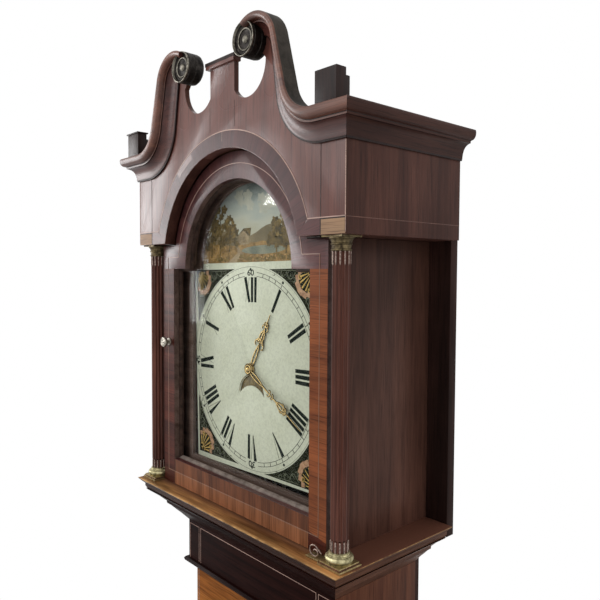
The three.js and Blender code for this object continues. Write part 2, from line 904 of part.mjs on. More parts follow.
function swanNecks() {
  const places = [];
  const station = (x, z, angle, share) =>
    places.push({
      origin: new THREE.Vector3(x, 0, z),
      u: new THREE.Vector3(0, -1, 0),
      v: new THREE.Vector3(Math.cos(angle), 0, Math.sin(angle)).multiplyScalar(share),
    });
  places.push(place(friezeHalf - cornerClearance, 0, corniceTop, [1, -1, 0], [0, 0, 1]));
  const endShare = crestWidth / corniceHeight;
  const neckShare = neckWidth / corniceHeight;
  for (let i = 0; i <= arcSteps; i += 1) {
    const angle = -Math.PI / 2 + ((lowEnd + Math.PI / 2) * i) / arcSteps;
    station(...onCircle(lowCentre, scrollLowRadius, angle), angle + Math.PI, 1);
  }
  const highEnd = rad(crestEnd);
  for (let i = 0; i <= arcSteps; i += 1) {
    const share = neckShare + ((endShare - neckShare) * i) / arcSteps;
    const angle = highStart + ((highEnd - highStart) * i) / arcSteps;
    station(...onCircle(highCentre, scrollHighRadius, angle), angle, share);
  }
  const neck = sweep(corniceProfile(seat), places);
  const hole = roundelRod(seat, -roundelReach - overrun, overrun);
  addPair("swan_neck", cut(neck, hole), mahogany);

  const ringShares = [
    [0, 1],
    [0.2, 0.97],
    [0.3, 0.9],
    [0.4, 0.9],
    [0.46, 0.97],
    [0.57, 0.97],
    [0.62, 0.9],
    [0.8, 0.9],
    [0.86, 0.98],
    [0.97, 0.98],
    [1, 0.93],
  ];
  const profile = ringShares.map(([out, forward]) => [
    roundelRadius * out,
    -roundelReach * forward,
  ]);
  profile.push([roundelRadius, crestThickness], [0, crestThickness]);
  const roundel = turnedForward(profile).translate(roundelX, 0, friezeBottom + roundelRise);
  addPair("roundel", roundel, brass);
}

// Tympanum: the pierced front board, with the plinth between the swan necks and its small cap
function tympanum() {
  const archCentre = friezeBottom - archDrop;
  const footAngle = Math.asin(archDrop / archRadius);
  const edge = friezeHalf - seat;
  const hollow = scrollLowRadius + scrollInset;
  const crest = scrollHighRadius - scrollInset;
  const roundel = [roundelX, friezeBottom + roundelRise];
  const piercingEdge = roundelX + roundelRadius - piercingWallGap;
  const piercingHalf = (piercingEdge - plinthHalf) * piercingShare;
  const piercingX = piercingEdge - piercingHalf;
  const piercingTurn = Math.acos((plinthHalf - piercingX) / piercingHalf);
  const piercingTop = friezeBottom + piercingTopRise;
  const piercingSteps = arcSteps * 2;

  const right = [[edge, friezeBottom], [edge, lowCentre[1] - hollow]];
  for (let i = 0; i <= arcSteps; i += 1)
    right.push(
      onCircle(lowCentre, hollow, -Math.PI / 2 + ((lowEnd + Math.PI / 2) * i) / arcSteps),
    );
  for (let i = 0; i <= arcSteps; i += 1)
    right.push(
      onCircle(highCentre, crest, highStart + ((Math.PI / 2 - highStart) * i) / arcSteps),
    );
  right.push(roundel);
  for (let i = 0; i <= piercingSteps; i += 1) {
    const angle = (-piercingTurn * i) / piercingSteps;
    right.push([
      piercingX + piercingHalf * Math.cos(angle),
      piercingTop + piercingHalfHeight * Math.sin(angle),
    ]);
  }
  right.push([plinthHalf, friezeBottom + plinthRise]);
  const left = right.map(([x, z]) => [-x, z]).reverse();
  const shape = outline([...right, ...left]);
  shape.absarc(0, archCentre, archRadius, Math.PI - footAngle, footAngle, true);
  const board = frontPanel(shape, 0, tympanumThickness);
  const thinned = block(
    -friezeHalf,
    friezeHalf,
    crestThickness,
    tympanumThickness + overrun,
    corniceTop,
    friezeBottom + scrollHighRise + scrollHighRadius,
  );
  const holeRight = roundelRod(seat, -overrun, tympanumThickness + overrun);
  const holeLeft = holeRight.clone().translate(-2 * roundelX, 0, 0);
  const cap = block(
    -plinthHalf - plinthCapReach,
    plinthHalf + plinthCapReach,
    -plinthCapReach,
    crestThickness,
    friezeBottom + plinthRise - overrun,
    friezeBottom + plinthRise + plinthCapHeight,
  );
  const pinHole = pivotHole(friezeBottom - overrun, friezeBottom + pivotDepth + running);
  add("tympanum", join(cut(board, thinned, holeRight, holeLeft, pinHole), cap), mahogany);

  const post = block(
    blockInner,
    blockOuter,
    -blockFront,
    -blockFront + blockDepth,
    corniceTop + seat,
    corniceTop + blockHeight,
  );
  const stub = block(
    blockInner + stubDepth,
    blockOuter,
    -blockFront + blockDepth - overrun,
    -blockFront + blockDepth + stubDepth,
    corniceTop + seat,
    corniceTop + stubHeight,
  );
  addPair("finial_block", join(post, stub), darkMahogany);
}

// Columns with brass bases and capitals
function columns() {
  const points = [];
  const ridgeShare = 0.42;
  const valleyShare = 0.71;
  for (let i = 0; i < fluteCount; i += 1) {
    const step = (2 * Math.PI) / fluteCount;
    const start = i * step;
    points.push(onCircle([0, 0], shaftRadius, start));
    points.push(onCircle([0, 0], shaftRadius, start + step * ridgeShare));
    points.push(onCircle([0, 0], shaftRadius - fluteDepth, start + step * valleyShare));
  }
  const bottom = shelfTop + seat + baseHeight + seat;
  const top = friezeBottom - capitalHeight - seat;
  const shaft = floorPanel(outline(points), bottom, top).translate(columnX, columnY, 0);
  addPair("column", shaft, darkMahogany);

  const squareBlock = (side, from, to) =>
    block(
      columnX - side / 2,
      columnX + side / 2,
      columnY - side / 2,
      columnY + side / 2,
      from,
      to,
    );
  const sleeve = shaftRadius + sleeveThickness;
  const sleeveStartShare = 0.5;
  const sleeveEndShare = 0.43;
  const headTopShare = 0.86;
  const baseShares = [
    [1, 0.18],
    [1.03, 0.27],
    [1, 0.36],
    [0.86, 0.43],
    [0.82, 0.46],
  ];
  const foot = [[0, basePlate - overrun], [torusRadius - overrun, basePlate - overrun]];
  foot.push(...baseShares.map(([out, up]) => [torusRadius * out, baseHeight * up]));
  foot.push([sleeve, baseHeight * sleeveStartShare], [sleeve, baseHeight], [0, baseHeight]);
  const turnedFoot = turnedUp(foot).translate(columnX, columnY, shelfTop + seat);
  const plate = squareBlock(baseSquare, shelfTop + seat, shelfTop + basePlate);
  addPair("column_base", join(plate, turnedFoot), brass);

  const capShares = [
    [0.87, 0.45],
    [0.87, 0.52],
    [0.82, 0.55],
    [0.92, 0.68],
    [1, 0.76],
    [1, headTopShare],
  ];
  const head = [[0, 0], [sleeve, 0], [sleeve, capitalHeight * sleeveEndShare]];
  head.push(...capShares.map(([out, up]) => [echinusRadius * out, capitalHeight * up]));
  head.push([0, capitalHeight * headTopShare]);
  const turnedHead = turnedUp(head).translate(columnX, columnY, friezeBottom - capitalHeight);
  const abacus = squareBlock(abacusSquare, friezeBottom - abacusHeight, friezeBottom - seat);
  addPair("capital", join(turnedHead, abacus), brass);
}

// A rectangle with a round arch on top, narrower than the rectangle.
function breakArch(half, bottom, shoulder, radius) {
  const shape = new THREE.Shape();
  shape.moveTo(-half, bottom);
  shape.lineTo(half, bottom);
  shape.lineTo(half, shoulder);
  shape.lineTo(radius, shoulder);
  shape.absarc(0, shoulder, radius, 0, Math.PI, false);
  shape.lineTo(-half, shoulder);
  return shape;
}

// Hood door: arched frame with its glass, hinge plates and turning knob
function hoodDoor() {
  const doorBack = doorFront + doorThickness;
  const bottom = shelfTop + doorUnderGap;
  const top = friezeBottom - doorOverGap;
  const archCentre = friezeBottom - archDrop;
  const footAngle = Math.asin((top - archCentre) / doorArchRadius);
  const shape = outline([
    [-doorHalf, top],
    [-doorHalf, bottom],
    [doorHalf, bottom],
    [doorHalf, top],
  ]);
  shape.absarc(0, archCentre, doorArchRadius, footAngle, Math.PI - footAngle, false);
  const paneBottom = shelfTop + glassBottom;
  const shoulder = friezeBottom - glassShoulderDrop;
  const opening = frontPanel(
    breakArch(glassHalf, paneBottom, shoulder, glassArchRadius),
    doorFront - overrun,
    doorBack + overrun,
  );
  const pane = (margin, front, back) =>
    frontPanel(
      breakArch(glassHalf + margin, paneBottom - margin, shoulder + margin, glassArchRadius),
      front,
      back,
    );
  const paneFront = doorBack - rebateDepth;
  const rebate = pane(rebateWidth, paneFront, doorBack + overrun);
  const spindleHole = rodAlongY(
    spindleRadius + running,
    doorFront - overrun,
    doorBack + overrun,
    -knobX,
    knobZ,
  );
  const frame = frontPanel(shape, doorFront, doorBack);
  add("hood_door", cut(frame, opening, rebate, spindleHole), mahogany);
  add(
    "hood_door_glass",
    pane(rebateWidth - seat, paneFront + seat, paneFront + seat + glassThickness),
    clearGlass,
  );

  const plate = (from) =>
    block(
      pivotX + pivotInset - hingePlateWidth,
      pivotX + pivotInset,
      pivotY - pivotInset,
      doorFront + hingePlateSeat,
      from,
      from + hingePlate,
    );
  const lowPlate = bottom - seat - hingePlate;
  const highPlate = top + seat;
  const pin = (from, to) => rodAlongZ(pivotRadius, from, to, pivotX, pivotY, coarse);
  const lowPin = pin(shelfTop - pivotDepth, lowPlate + hingePlate);
  const highPin = pin(highPlate, friezeBottom + pivotDepth);
  add("hood_hinge_lower", join(plate(lowPlate), lowPin), brass);
  add("hood_hinge_upper", join(plate(highPlate), highPin), brass);

  const knobSeatShare = 0.02;
  const knobShares = [
    [0, 1],
    [0.6, 0.96],
    [0.94, 0.8],
    [1, 0.6],
    [0.85, 0.4],
    [0.42, 0.26],
    [0.4, 0.12],
    [0.75, 0.08],
    [0.75, knobSeatShare],
  ];
  const profile = knobShares.map(([out, forward]) => [knobRadius * out, -knobReach * forward]);
  profile.push([0, -knobReach * knobSeatShare]);
  const knob = turnedForward(profile, coarse).translate(-knobX, doorFront, knobZ);
  const spindle = rodAlongY(
    spindleRadius,
    doorFront - knobReach / 2,
    catchFront + catchThickness,
    -knobX,
    knobZ,
  );
  const tongue = block(
    -knobX - catchHalf,
    -knobX + catchHalf,
    catchFront,
    catchFront + catchThickness,
    knobZ - catchLength,
    knobZ + catchHalf,
  );
  add("hood_knob", join(knob, spindle, tongue), brass);
}

// Mask, and the dial behind it
function dialAndMask() {
  const board = block(
    -hoodSideHalf + hoodSideBoard + seat,
    hoodSideHalf - hoodSideBoard - seat,
    maskFront,
    maskFront + maskThickness,
    shelfTop + seat,
    friezeBottom + maskRise,
  );
  const opening = frontPanel(
    breakArch(
      maskHalf,
      shelfTop + maskBottom,
      friezeBottom - maskShoulderDrop,
      maskArchRadius,
    ),
    maskFront - overrun,
    maskFront + maskThickness + overrun,
  );
  add("hood_mask", cut(board, opening), darkMahogany);

  const shape = breakArch(dialHalf, -dialDrop, dialHalf, dialArchRadius);
  shape.holes.push(new THREE.Path().absarc(0, 0, dialHole, 0, 2 * Math.PI, true));
  const mouthDrop = dateDrop - dateMouthTop;
  const lipRadius = (dateMouthOuter ** 2 + mouthDrop ** 2) / (2 * mouthDrop);
  const lipAngle = Math.asin((lipRadius - mouthDrop) / lipRadius);
  const mouth = new THREE.Path();
  mouth.absarc(0, -dateDrop, dateMouthOuter, 0, Math.PI, false);
  mouth.absarc(0, -dateMouthTop - lipRadius, lipRadius, Math.PI - lipAngle, lipAngle, true);
  shape.holes.push(mouth);
  const dialBack = dialFront + dialThickness;
  const feet = [];
  for (const x of [-dialFootSpread, dialFootSpread])
    for (const z of [dialFootUp, -dialFootDown])
      feet.push(rodAlongY(dialFootRadius, dialBack - seat, frontPlateFront - seat, x, z, arcSteps));
  const stud = rodAlongY(
    dateStudRadius,
    dialBack - seat,
    dialBack + running + dateDiscThickness + running,
    0,
    -dateDrop,
  );
  const turned = (geometry) => geometry.rotateY(-rad(dialTurn)).translate(0, 0, dialCentre);
  const plate = frontPanel(shape, dialFront, dialBack, arcSteps * 2);
  add("dial", turned(join(plate, ...feet, stud)), cream);

  const disc = new THREE.Shape().absarc(0, 0, dateDiscRadius, 0, 2 * Math.PI, false);
  disc.holes.push(
    new THREE.Path().absarc(0, 0, dateStudRadius + running, 0, 2 * Math.PI, true),
  );
  const discPlate = frontPanel(
    disc,
    dialBack + running,
    dialBack + running + dateDiscThickness,
    coarse,
  ).translate(0, 0, -dateDrop);
  add("date_disc", turned(discPlate), cream);
}

// Hands: a tapering shank with an open ring, on a boss and a pipe that carries its wheel
function hand(length, ringAt, front, pipeRadius, pipeEnd, bore, gear, angle) {
  const shank = frontPanel(
    outline([
      [-shankHalf, 0],
      [shankHalf, 0],
      [tipHalf, length],
      [-tipHalf, length],
    ]),
    front,
    front + handThickness,
  );
  const eye = new THREE.Shape().absarc(0, 0, ringOuter, 0, 2 * Math.PI, false);
  eye.holes.push(new THREE.Path().absarc(0, 0, ringInner, 0, 2 * Math.PI, true));
  const ring = frontPanel(eye, front, front + handThickness, coarse / 2).translate(0, 0, ringAt);
  const boss = rodAlongY(handBossRadius, front, front + handThickness, 0, 0);
  const pipe = rodAlongY(pipeRadius, front, pipeEnd, 0, 0);
  const hole = rodAlongY(bore, front - overrun, pipeEnd + overrun, 0, 0);
  return cut(join(shank, ring, boss, pipe, gear), hole)
    .rotateY(rad(angle))
    .translate(0, 0, dialCentre);
}

function hands() {
  const minuteEnd = motionWheelFront + motionWheelThickness;
  const minuteWheel = wheel(
    motionRadius,
    motionTeeth,
    motionWheelFront,
    motionWheelThickness,
    0,
    0,
  );
  add(
    "minute_hand",
    hand(
      minuteHandLength,
      minuteRingRadius,
      minuteHandFront,
      minutePipeRadius,
      minuteEnd,
      handStudRadius + running,
      minuteWheel,
      minuteHandAngle,
    ),
    gilt,
  );
  const hourEnd = hourWheelFront + motionWheelThickness;
  const hourWheel = wheel(hourRadius, hourTeeth, hourWheelFront, motionWheelThickness, 0, 0);
  add(
    "hour_hand",
    hand(
      hourHandLength,
      hourRingRadius,
      hourHandFront,
      hourPipeRadius,
      hourEnd,
      minutePipeRadius + running,
      hourWheel,
      hourHandAngle,
    ),
    gilt,
  );
}

// Plates, with the pillars and the pendulum's cock on the back one
function plates() {
  const frontBack = frontPlateFront + plateThickness;
  const spots = [
    [greatX, greatZ],
    [secondX, secondZ],
    [0, escapeZ],
    [-strikeX, strikeZ],
    [0, anchorZ],
    [-hammerX, hammerZ],
  ];
  const holes = (front, back) =>
    spots.map(([x, z]) => rodAlongY(pivotRadiusTrain + running, front, back, x, z, arcSteps));
  const wide = (front, back, x, z) =>
    rodAlongY(arborRadius + running, front, back, x, z, arcSteps);

  const front = block(-plateHalf, plateHalf, frontPlateFront, frontBack, plateBottom, plateTop);
  const frontHoles = holes(frontBack - plateThickness / 2, frontBack + overrun);
  const greatHole = wide(frontPlateFront - overrun, frontBack + overrun, greatX, greatZ);
  const stud = rodAlongY(
    handStudRadius,
    minuteHandFront - overrun,
    frontPlateFront + seat,
    0,
    dialCentre,
  );
  add("front_plate", join(cut(front, ...frontHoles, greatHole), stud), brass);

  const back = block(-plateHalf, plateHalf, backPlateFront, backPlateBack, plateBottom, plateTop);
  const pillars = [];
  for (const x of [-plateHalf + pillarInset, plateHalf - pillarInset])
    for (const z of [plateBottom + pillarInset, plateTop - pillarInset])
      pillars.push(
        rodAlongY(pillarRadius, frontBack + seat, backPlateFront + seat, x, z, arcSteps),
      );
  const anchorHole = wide(backPlateFront - overrun, backPlateBack + overrun, 0, anchorZ);
  const cock = block(
    -cockHalf,
    cockHalf,
    backPlateFront + seat,
    pendulumY + cockHalf,
    anchorZ + cockRise,
    anchorZ + cockRise + cockThickness,
  );
  const slotHalf = springWidth / 2 + cockSlot;
  const slot = block(
    -slotHalf,
    slotHalf,
    pendulumY - springThickness / 2 - running,
    pendulumY + springThickness / 2 + running,
    anchorZ + cockRise - overrun,
    anchorZ + cockRise + cockThickness + overrun,
  );
  const drilled = cut(
    back,
    ...holes(backPlateFront - overrun, backPlateBack + overrun),
    anchorHole,
  );
  add("back_plate", join(drilled, ...pillars, cut(cock, slot)), brass);
}

// An arbor between the plates, with a pivot at each end.
function arbor(x, z) {
  const front = frontPlateFront + plateThickness;
  return [
    rodAlongY(arborRadius, front + running, backPlateFront - running, x, z),
    rodAlongY(
      pivotRadiusTrain,
      front - plateThickness / 2 + running,
      backPlateBack,
      x,
      z,
      arcSteps,
    ),
  ];
}

// Rope sprocket: a grooved drum
function sprocket(x, z) {
  const wall = (sprocketWidth - 2 * ropeRadius - 2 * running) / 2;
  const profile = [
    [0, 0],
    [sprocketFlange, 0],
    [sprocketFlange, wall],
    [sprocketRadius, wall],
    [sprocketRadius, sprocketWidth - wall],
    [sprocketFlange, sprocketWidth - wall],
    [sprocketFlange, sprocketWidth],
    [0, sprocketWidth],
  ];
  return turnedForward(profile).translate(x, sprocketFront, z);
}

function trains() {
  const pinion = (x, z, front) =>
    rodAlongY(pinionRadius, front, front + pinionLength, x, z, arcSteps);
  const hub = (x, z, front) =>
    rodAlongY(wheelHub, front - wheelThickness, front + wheelThickness * 2, x, z);
  const reportPinion = rodAlongY(
    reportRadius,
    hourWheelFront - running,
    hourWheelFront + motionWheelThickness + running,
    greatX,
    greatZ,
  );
  const greatShaft = rodAlongY(
    arborRadius,
    hourWheelFront - running,
    frontPlateFront + plateThickness + running,
    greatX,
    greatZ,
  );
  const driver = wheel(
    motionRadius,
    motionTeeth,
    motionWheelFront,
    motionWheelThickness,
    greatX,
    greatZ,
  );
  const great = join(
    wheel(greatRadius, greatTeeth, greatFront, wheelThickness, greatX, greatZ),
    hub(greatX, greatZ, greatFront),
    ...arbor(greatX, greatZ),
    greatShaft,
    reportPinion,
    driver,
    sprocket(greatX, greatZ),
  );
  add("great_wheel", great, brass);

  const second = join(
    wheel(secondRadius, secondTeeth, secondFront, wheelThickness, secondX, secondZ),
    hub(secondX, secondZ, secondFront),
    ...arbor(secondX, secondZ),
    pinion(secondX, secondZ, greatFront - pinionLength / 2),
  );
  add("second_wheel", second, brass);

  const escape = join(
    wheel(escapeRadius, escapeTeeth, escapeFront, wheelThickness, 0, escapeZ),
    ...arbor(0, escapeZ),
    pinion(0, escapeZ, secondFront - pinionLength / 2),
  );
  add("escape_wheel", escape, brass);

  const pins = [];
  const pinEnd = strikeFront + wheelThickness + countPinLength;
  for (let i = 0; i < countPinCount; i += 1) {
    const [x, z] = onCircle(
      [-strikeX, strikeZ],
      countPinCircle,
      (i * 2 * Math.PI) / countPinCount,
    );
    pins.push(
      rodAlongY(countPinRadius, strikeFront, pinEnd, x, z, pinSides),
    );
  }
  const strike = join(
    wheel(strikeRadius, strikeTeeth, strikeFront, wheelThickness, -strikeX, strikeZ),
    hub(-strikeX, strikeZ, strikeFront),
    ...arbor(-strikeX, strikeZ),
    sprocket(-strikeX, strikeZ),
    ...pins,
  );
  add("strike_wheel", strike, brass);
}

// Anchor with its crutch, and the pendulum that the crutch drives
function escapement() {
  const pallets = new THREE.Shape();
  const [from, to] = [rad(straightUp - palletSpan), rad(straightUp + palletSpan)];
  pallets.absarc(0, 0, palletOuter, from, to, false);
  pallets.absarc(0, 0, palletInner, to, from, true);
  const body = frontPanel(pallets, escapeFront, escapeFront + wheelThickness, arcSteps)
    .translate(0, 0, escapeZ);
  const neck = block(
    -arborRadius,
    arborRadius,
    escapeFront,
    escapeFront + wheelThickness,
    escapeZ + palletInner + overrun,
    anchorZ,
  );
  const crutchFront = backPlateBack + crutchBehind;
  const crutchBack = crutchFront + crutchThickness;
  const shaft = rodAlongY(
    arborRadius,
    frontPlateFront + plateThickness + running,
    crutchBack,
    0,
    anchorZ,
  );
  const pivot = rodAlongY(
    pivotRadiusTrain,
    frontPlateFront + plateThickness / 2 + running,
    escapeFront,
    0,
    anchorZ,
    arcSteps,
  );
  const forkInner = rodRadius + running;
  const arm = block(
    -arborRadius,
    arborRadius,
    crutchFront,
    crutchBack,
    anchorZ - crutchLength,
    anchorZ,
  );
  const bar = block(
    -forkInner - forkBar,
    forkInner + forkBar,
    crutchFront,
    crutchBack,
    anchorZ - crutchLength,
    anchorZ - crutchLength + forkBar * 2,
  );
  const prongs = [-forkInner - forkBar, forkInner].map((x) =>
    block(
      x,
      x + forkBar,
      crutchFront,
      pendulumY + rodRadius,
      anchorZ - crutchLength,
      anchorZ - crutchLength + forkBar * 2,
    ),
  );
  add("anchor", join(body, neck, shaft, pivot, arm, bar, ...prongs), steel);

  const cockTop = anchorZ + cockRise + cockThickness;
  const cheek = block(
    -cheekHalf,
    cheekHalf,
    pendulumY - cheekHalf / 2,
    pendulumY + cheekHalf / 2,
    cockTop + cheekGap,
    cockTop + cheekGap + cheekHeight,
  );
  const spring = block(
    -springWidth / 2,
    springWidth / 2,
    pendulumY - springThickness / 2,
    pendulumY + springThickness / 2,
    anchorZ - cheekHeight - overrun,
    cockTop + cheekGap + overrun,
  );
  const clamp = block(
    -cheekHalf,
    cheekHalf,
    pendulumY - rodRadius,
    pendulumY + rodRadius,
    anchorZ - cheekHeight * 2,
    anchorZ - cheekHeight,
  );
  const bobZ = anchorZ - bobDrop;
  const rod = rodAlongZ(
    rodRadius,
    bobZ - bobRadius - rodTail / 2,
    anchorZ - cheekHeight - overrun,
    0,
    pendulumY,
    arcSteps,
  );
  const lensShares = [
    [0, -1],
    [0.5, -0.86],
    [0.82, -0.5],
    [1, -0.12],
    [1, 0.12],
    [0.82, 0.5],
    [0.5, 0.86],
    [0, 1],
  ];
  const lens = turnedForward(
    lensShares.map(([out, deep]) => [bobRadius * out, bobHalfThickness * deep]),
  ).translate(0, pendulumY, bobZ);
  const nut = rodAlongZ(
    nutRadius,
    bobZ - bobRadius - nutHeight,
    bobZ - bobRadius + overrun,
    0,
    pendulumY,
    arcSteps,
  );
  add("pendulum", join(cheek, spring, clamp, rod, lens, nut), steel);
}

// Bell on its post, and the hammer
function strikeWork() {
  const mouth = plateTop + bellRise;
  const outerShares = [
    [1, 0],
    [0.97, 0.25],
    [0.86, 0.55],
    [0.62, 0.83],
    [0.3, 0.97],
    [0, 1],
  ];
  const outside = outerShares.map(([out, up]) => [bellRadius * out, bellHeight * up]);
  const inside = outerShares.map(([out, up]) => [
    (bellRadius - bellWall) * out,
    (bellHeight - bellWall) * up,
  ]);
  const postY = (backPlateFront + backPlateBack) / 2;
  const shell = turnedUp([...inside.reverse(), ...outside]).translate(0, postY, mouth);
  const post = rodAlongZ(
    bellPostRadius,
    plateTop + seat,
    mouth + bellHeight + bellPostRadius,
    0,
    postY,
    arcSteps,
  );
  add("bell", join(shell, post), brass);

  const shaft = arbor(-hammerX, hammerZ);
  const headZ = plateTop + hammerHeadRise;
  const front = hammerFront;
  const back = hammerFront + 2 * hammerArm;
  const armShape = outline([
    [-hammerX - hammerArm, hammerZ],
    [-hammerX + hammerArm, hammerZ],
    [-hammerHeadX + hammerArm, headZ],
    [-hammerHeadX - hammerArm, headZ],
  ]);
  const head = new THREE.CylinderGeometry(
    hammerHeadRadius,
    hammerHeadRadius,
    hammerHeadLength,
    coarse,
  )
    .rotateZ(Math.PI / 2)
    .translate(-hammerHeadX, front + hammerArm, headZ);
  add("hammer", join(...shaft, frontPanel(armShape, front, back), head), steel);
}

// Seat board on the cheeks, with a slot for the rope
function seatBoardPiece() {
  const board = block(-trunkHalf, trunkHalf, seatFront, seatBack, seatTop - seatBoard, seatTop);
  const reach = sprocketRadius + 2 * ropeRadius + ropeHoleHalf;
  const slot = block(
    -strikeX - reach,
    greatX + reach,
    ropeY - ropeHoleHalf,
    ropeY + ropeHoleHalf,
    seatTop - seatBoard - overrun,
    seatTop + overrun,
  );
  add("seat_board", cut(board, slot), pine);
}

// Endless rope in two loops over the sprockets: one carries the weight, the other the ring
function ropes() {
  const wrap = sprocketRadius + ropeRadius + seat;
  const going = [greatX, greatZ];
  const striking = [-strikeX, strikeZ];
  const top = Math.PI / 2;
  const parting = seat / wrap;
  const section = [];
  for (let i = 0; i < ropeSides; i += 1)
    section.push(onCircle([0, 0], ropeRadius, (i * 2 * Math.PI) / ropeSides));

  const bend = (centre, radius, y, from, to) => {
    const points = [];
    for (let i = 0; i <= arcSteps; i += 1) {
      const [x, z] = onCircle(centre, radius, from + ((to - from) * i) / arcSteps);
      points.push(new THREE.Vector3(x, y, z));
    }
    return points;
  };
  const tube = (points) => {
    const u = new THREE.Vector3(0, 1, 0);
    const places = points.map((origin, i) => {
      const before = points[Math.max(i - 1, 0)];
      const after = points[Math.min(i + 1, points.length - 1)];
      const v = after.clone().sub(before).cross(u).normalize();
      return { origin, u, v };
    });
    return sweep(section, places);
  };
  const carrying = tube([
    ...bend(going, wrap, ropeY, top + parting, Math.PI),
    ...bend([-weightX, pulleyZ], pulleyGroove + ropeRadius + seat, weightY, 0, -Math.PI),
    ...bend(striking, wrap, ropeY, 0, top - parting),
  ]);
  add("rope_weight_loop", carrying, cotton);
  const slack = tube([
    ...bend(going, wrap, ropeY, top - parting, 0),
    ...bend([0, slackHeight], slackRadius, slackY, 0, -Math.PI),
    ...bend(striking, wrap, ropeY, Math.PI, top + parting),
  ]);
  add("rope_ring_loop", slack, cotton);
}

// Driving weight with its pulley, and the ring that keeps the slack rope taut
function weights() {
  const shell = rodAlongZ(weightRadius, weightTop - weightHeight, weightTop, 0, 0, fine);
  const halfWidth = pulleyWidth / 2;
  const pulley = turnedForward([
    [0, -halfWidth],
    [pulleyRadius, -halfWidth],
    [pulleyRadius, -ropeRadius - running],
    [pulleyGroove, -ropeRadius - running],
    [pulleyGroove, ropeRadius + running],
    [pulleyRadius, ropeRadius + running],
    [pulleyRadius, halfWidth],
    [0, halfWidth],
  ]).translate(0, 0, pulleyZ);
  const outside = halfWidth + running + strapThickness;
  const axle = rodAlongY(pulleyAxle, -outside, outside, 0, pulleyZ);
  const straps = [-outside, outside - strapThickness].map((front) =>
    block(
      -strapWidth / 2,
      strapWidth / 2,
      front,
      front + strapThickness,
      weightTop - overrun,
      pulleyZ + strapWidth,
    ),
  );
  const weight = join(shell, pulley, axle, ...straps).translate(-weightX, weightY, 0);
  add("driving_weight", weight, lead);

  const hang = slackHeight - slackRadius + ropeRadius + seat - (ringRadius - ringTube);
  const ring = new THREE.TorusGeometry(ringRadius, ringTube, arcSteps, coarse)
    .rotateY(Math.PI / 2)
    .translate(0, slackY, hang);
  add("tension_ring", ring, lead);
}

backboard();
base();
trunk();
trunkFrieze();
throat();
seatBoardPiece();
hoodCarcase();
swanNecks();
tympanum();
columns();
hoodDoor();
dialAndMask();
hands();
plates();
trains();
escapement();
strikeWork();
ropes();
weights();

export default clock;
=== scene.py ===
import json
import math
import random

import bmesh
import bpy
from mathutils import Matrix, Vector

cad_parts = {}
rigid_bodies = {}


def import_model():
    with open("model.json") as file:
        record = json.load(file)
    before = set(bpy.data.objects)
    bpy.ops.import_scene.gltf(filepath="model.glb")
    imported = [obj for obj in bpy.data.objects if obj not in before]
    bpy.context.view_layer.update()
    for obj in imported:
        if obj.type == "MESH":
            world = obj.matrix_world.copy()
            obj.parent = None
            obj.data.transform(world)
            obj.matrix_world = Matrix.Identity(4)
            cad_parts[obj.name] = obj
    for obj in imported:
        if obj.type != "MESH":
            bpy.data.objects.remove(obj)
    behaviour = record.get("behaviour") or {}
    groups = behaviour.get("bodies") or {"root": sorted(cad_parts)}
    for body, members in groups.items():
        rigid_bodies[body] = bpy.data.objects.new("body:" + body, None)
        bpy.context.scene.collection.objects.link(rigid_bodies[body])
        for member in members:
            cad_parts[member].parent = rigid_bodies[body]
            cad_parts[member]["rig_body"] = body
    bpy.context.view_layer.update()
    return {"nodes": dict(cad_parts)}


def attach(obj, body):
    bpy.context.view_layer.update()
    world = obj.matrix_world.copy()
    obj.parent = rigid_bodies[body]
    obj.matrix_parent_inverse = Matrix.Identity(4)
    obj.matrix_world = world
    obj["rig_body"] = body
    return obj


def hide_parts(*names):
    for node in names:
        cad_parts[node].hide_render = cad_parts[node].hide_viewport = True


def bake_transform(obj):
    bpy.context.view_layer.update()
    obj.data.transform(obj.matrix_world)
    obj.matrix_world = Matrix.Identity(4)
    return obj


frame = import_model()

# Sizes are in millimetres. Widths are counted from the middle, depths from the front of the hood's
# frieze and heights from the floor.
MM = 0.001
MIDDLE = 109.5
BACK = 227.7
SHELF = 1552.0
SHELF_HALF = 247.0
FRIEZE = 1961.0
FRIEZE_HALF = 250.0
BAND_TOP = FRIEZE + 20
CORNICE_BOTTOM = 2071.0
CORNICE_TOP = 2111.0
ARCH = FRIEZE - 35
DOOR_FRONT = 19.0
SHOULDER = FRIEZE - 41
DIAL = 1767.5
DIAL_FRONT = 53.7
BASE_FRONT = 20.0

TAU = 2 * math.pi
WHITE = (1, 1, 1)
SIDES = (("right", 1), ("left", -1))
FINISH = {}


def metres(point):
    x, y, z = point
    return Vector((x * MM, (y - MIDDLE) * MM, z * MM))


def add_object(name, data):
    made = bpy.data.objects.new(name, data)
    bpy.context.scene.collection.objects.link(made)
    return made


# Camera
def add_camera():
    place = metres((760.8, -527.2, 1916.5))
    yaw, pitch, roll = 0.8414, -0.0453, 0.0047
    frame_width, focal_pixels, sensor = 600, 628.2174, 36
    level = Vector((math.cos(yaw), math.sin(yaw), 0))
    ahead = Vector((-math.sin(yaw), math.cos(yaw), 0))
    forward = ahead * math.cos(pitch) + Vector((0, 0, math.sin(pitch)))
    above = level.cross(forward)
    right = level * math.cos(roll) + above * math.sin(roll)
    up = above * math.cos(roll) - level * math.sin(roll)
    data = bpy.data.cameras.new("view")
    data.sensor_width = sensor
    data.lens = sensor * focal_pixels / frame_width
    data.clip_start = 0.02
    camera = add_object("view", data)
    turn = Matrix((right, up, -forward)).transposed().to_4x4()
    camera.matrix_world = Matrix.Translation(place) @ turn
    bpy.context.scene.camera = camera


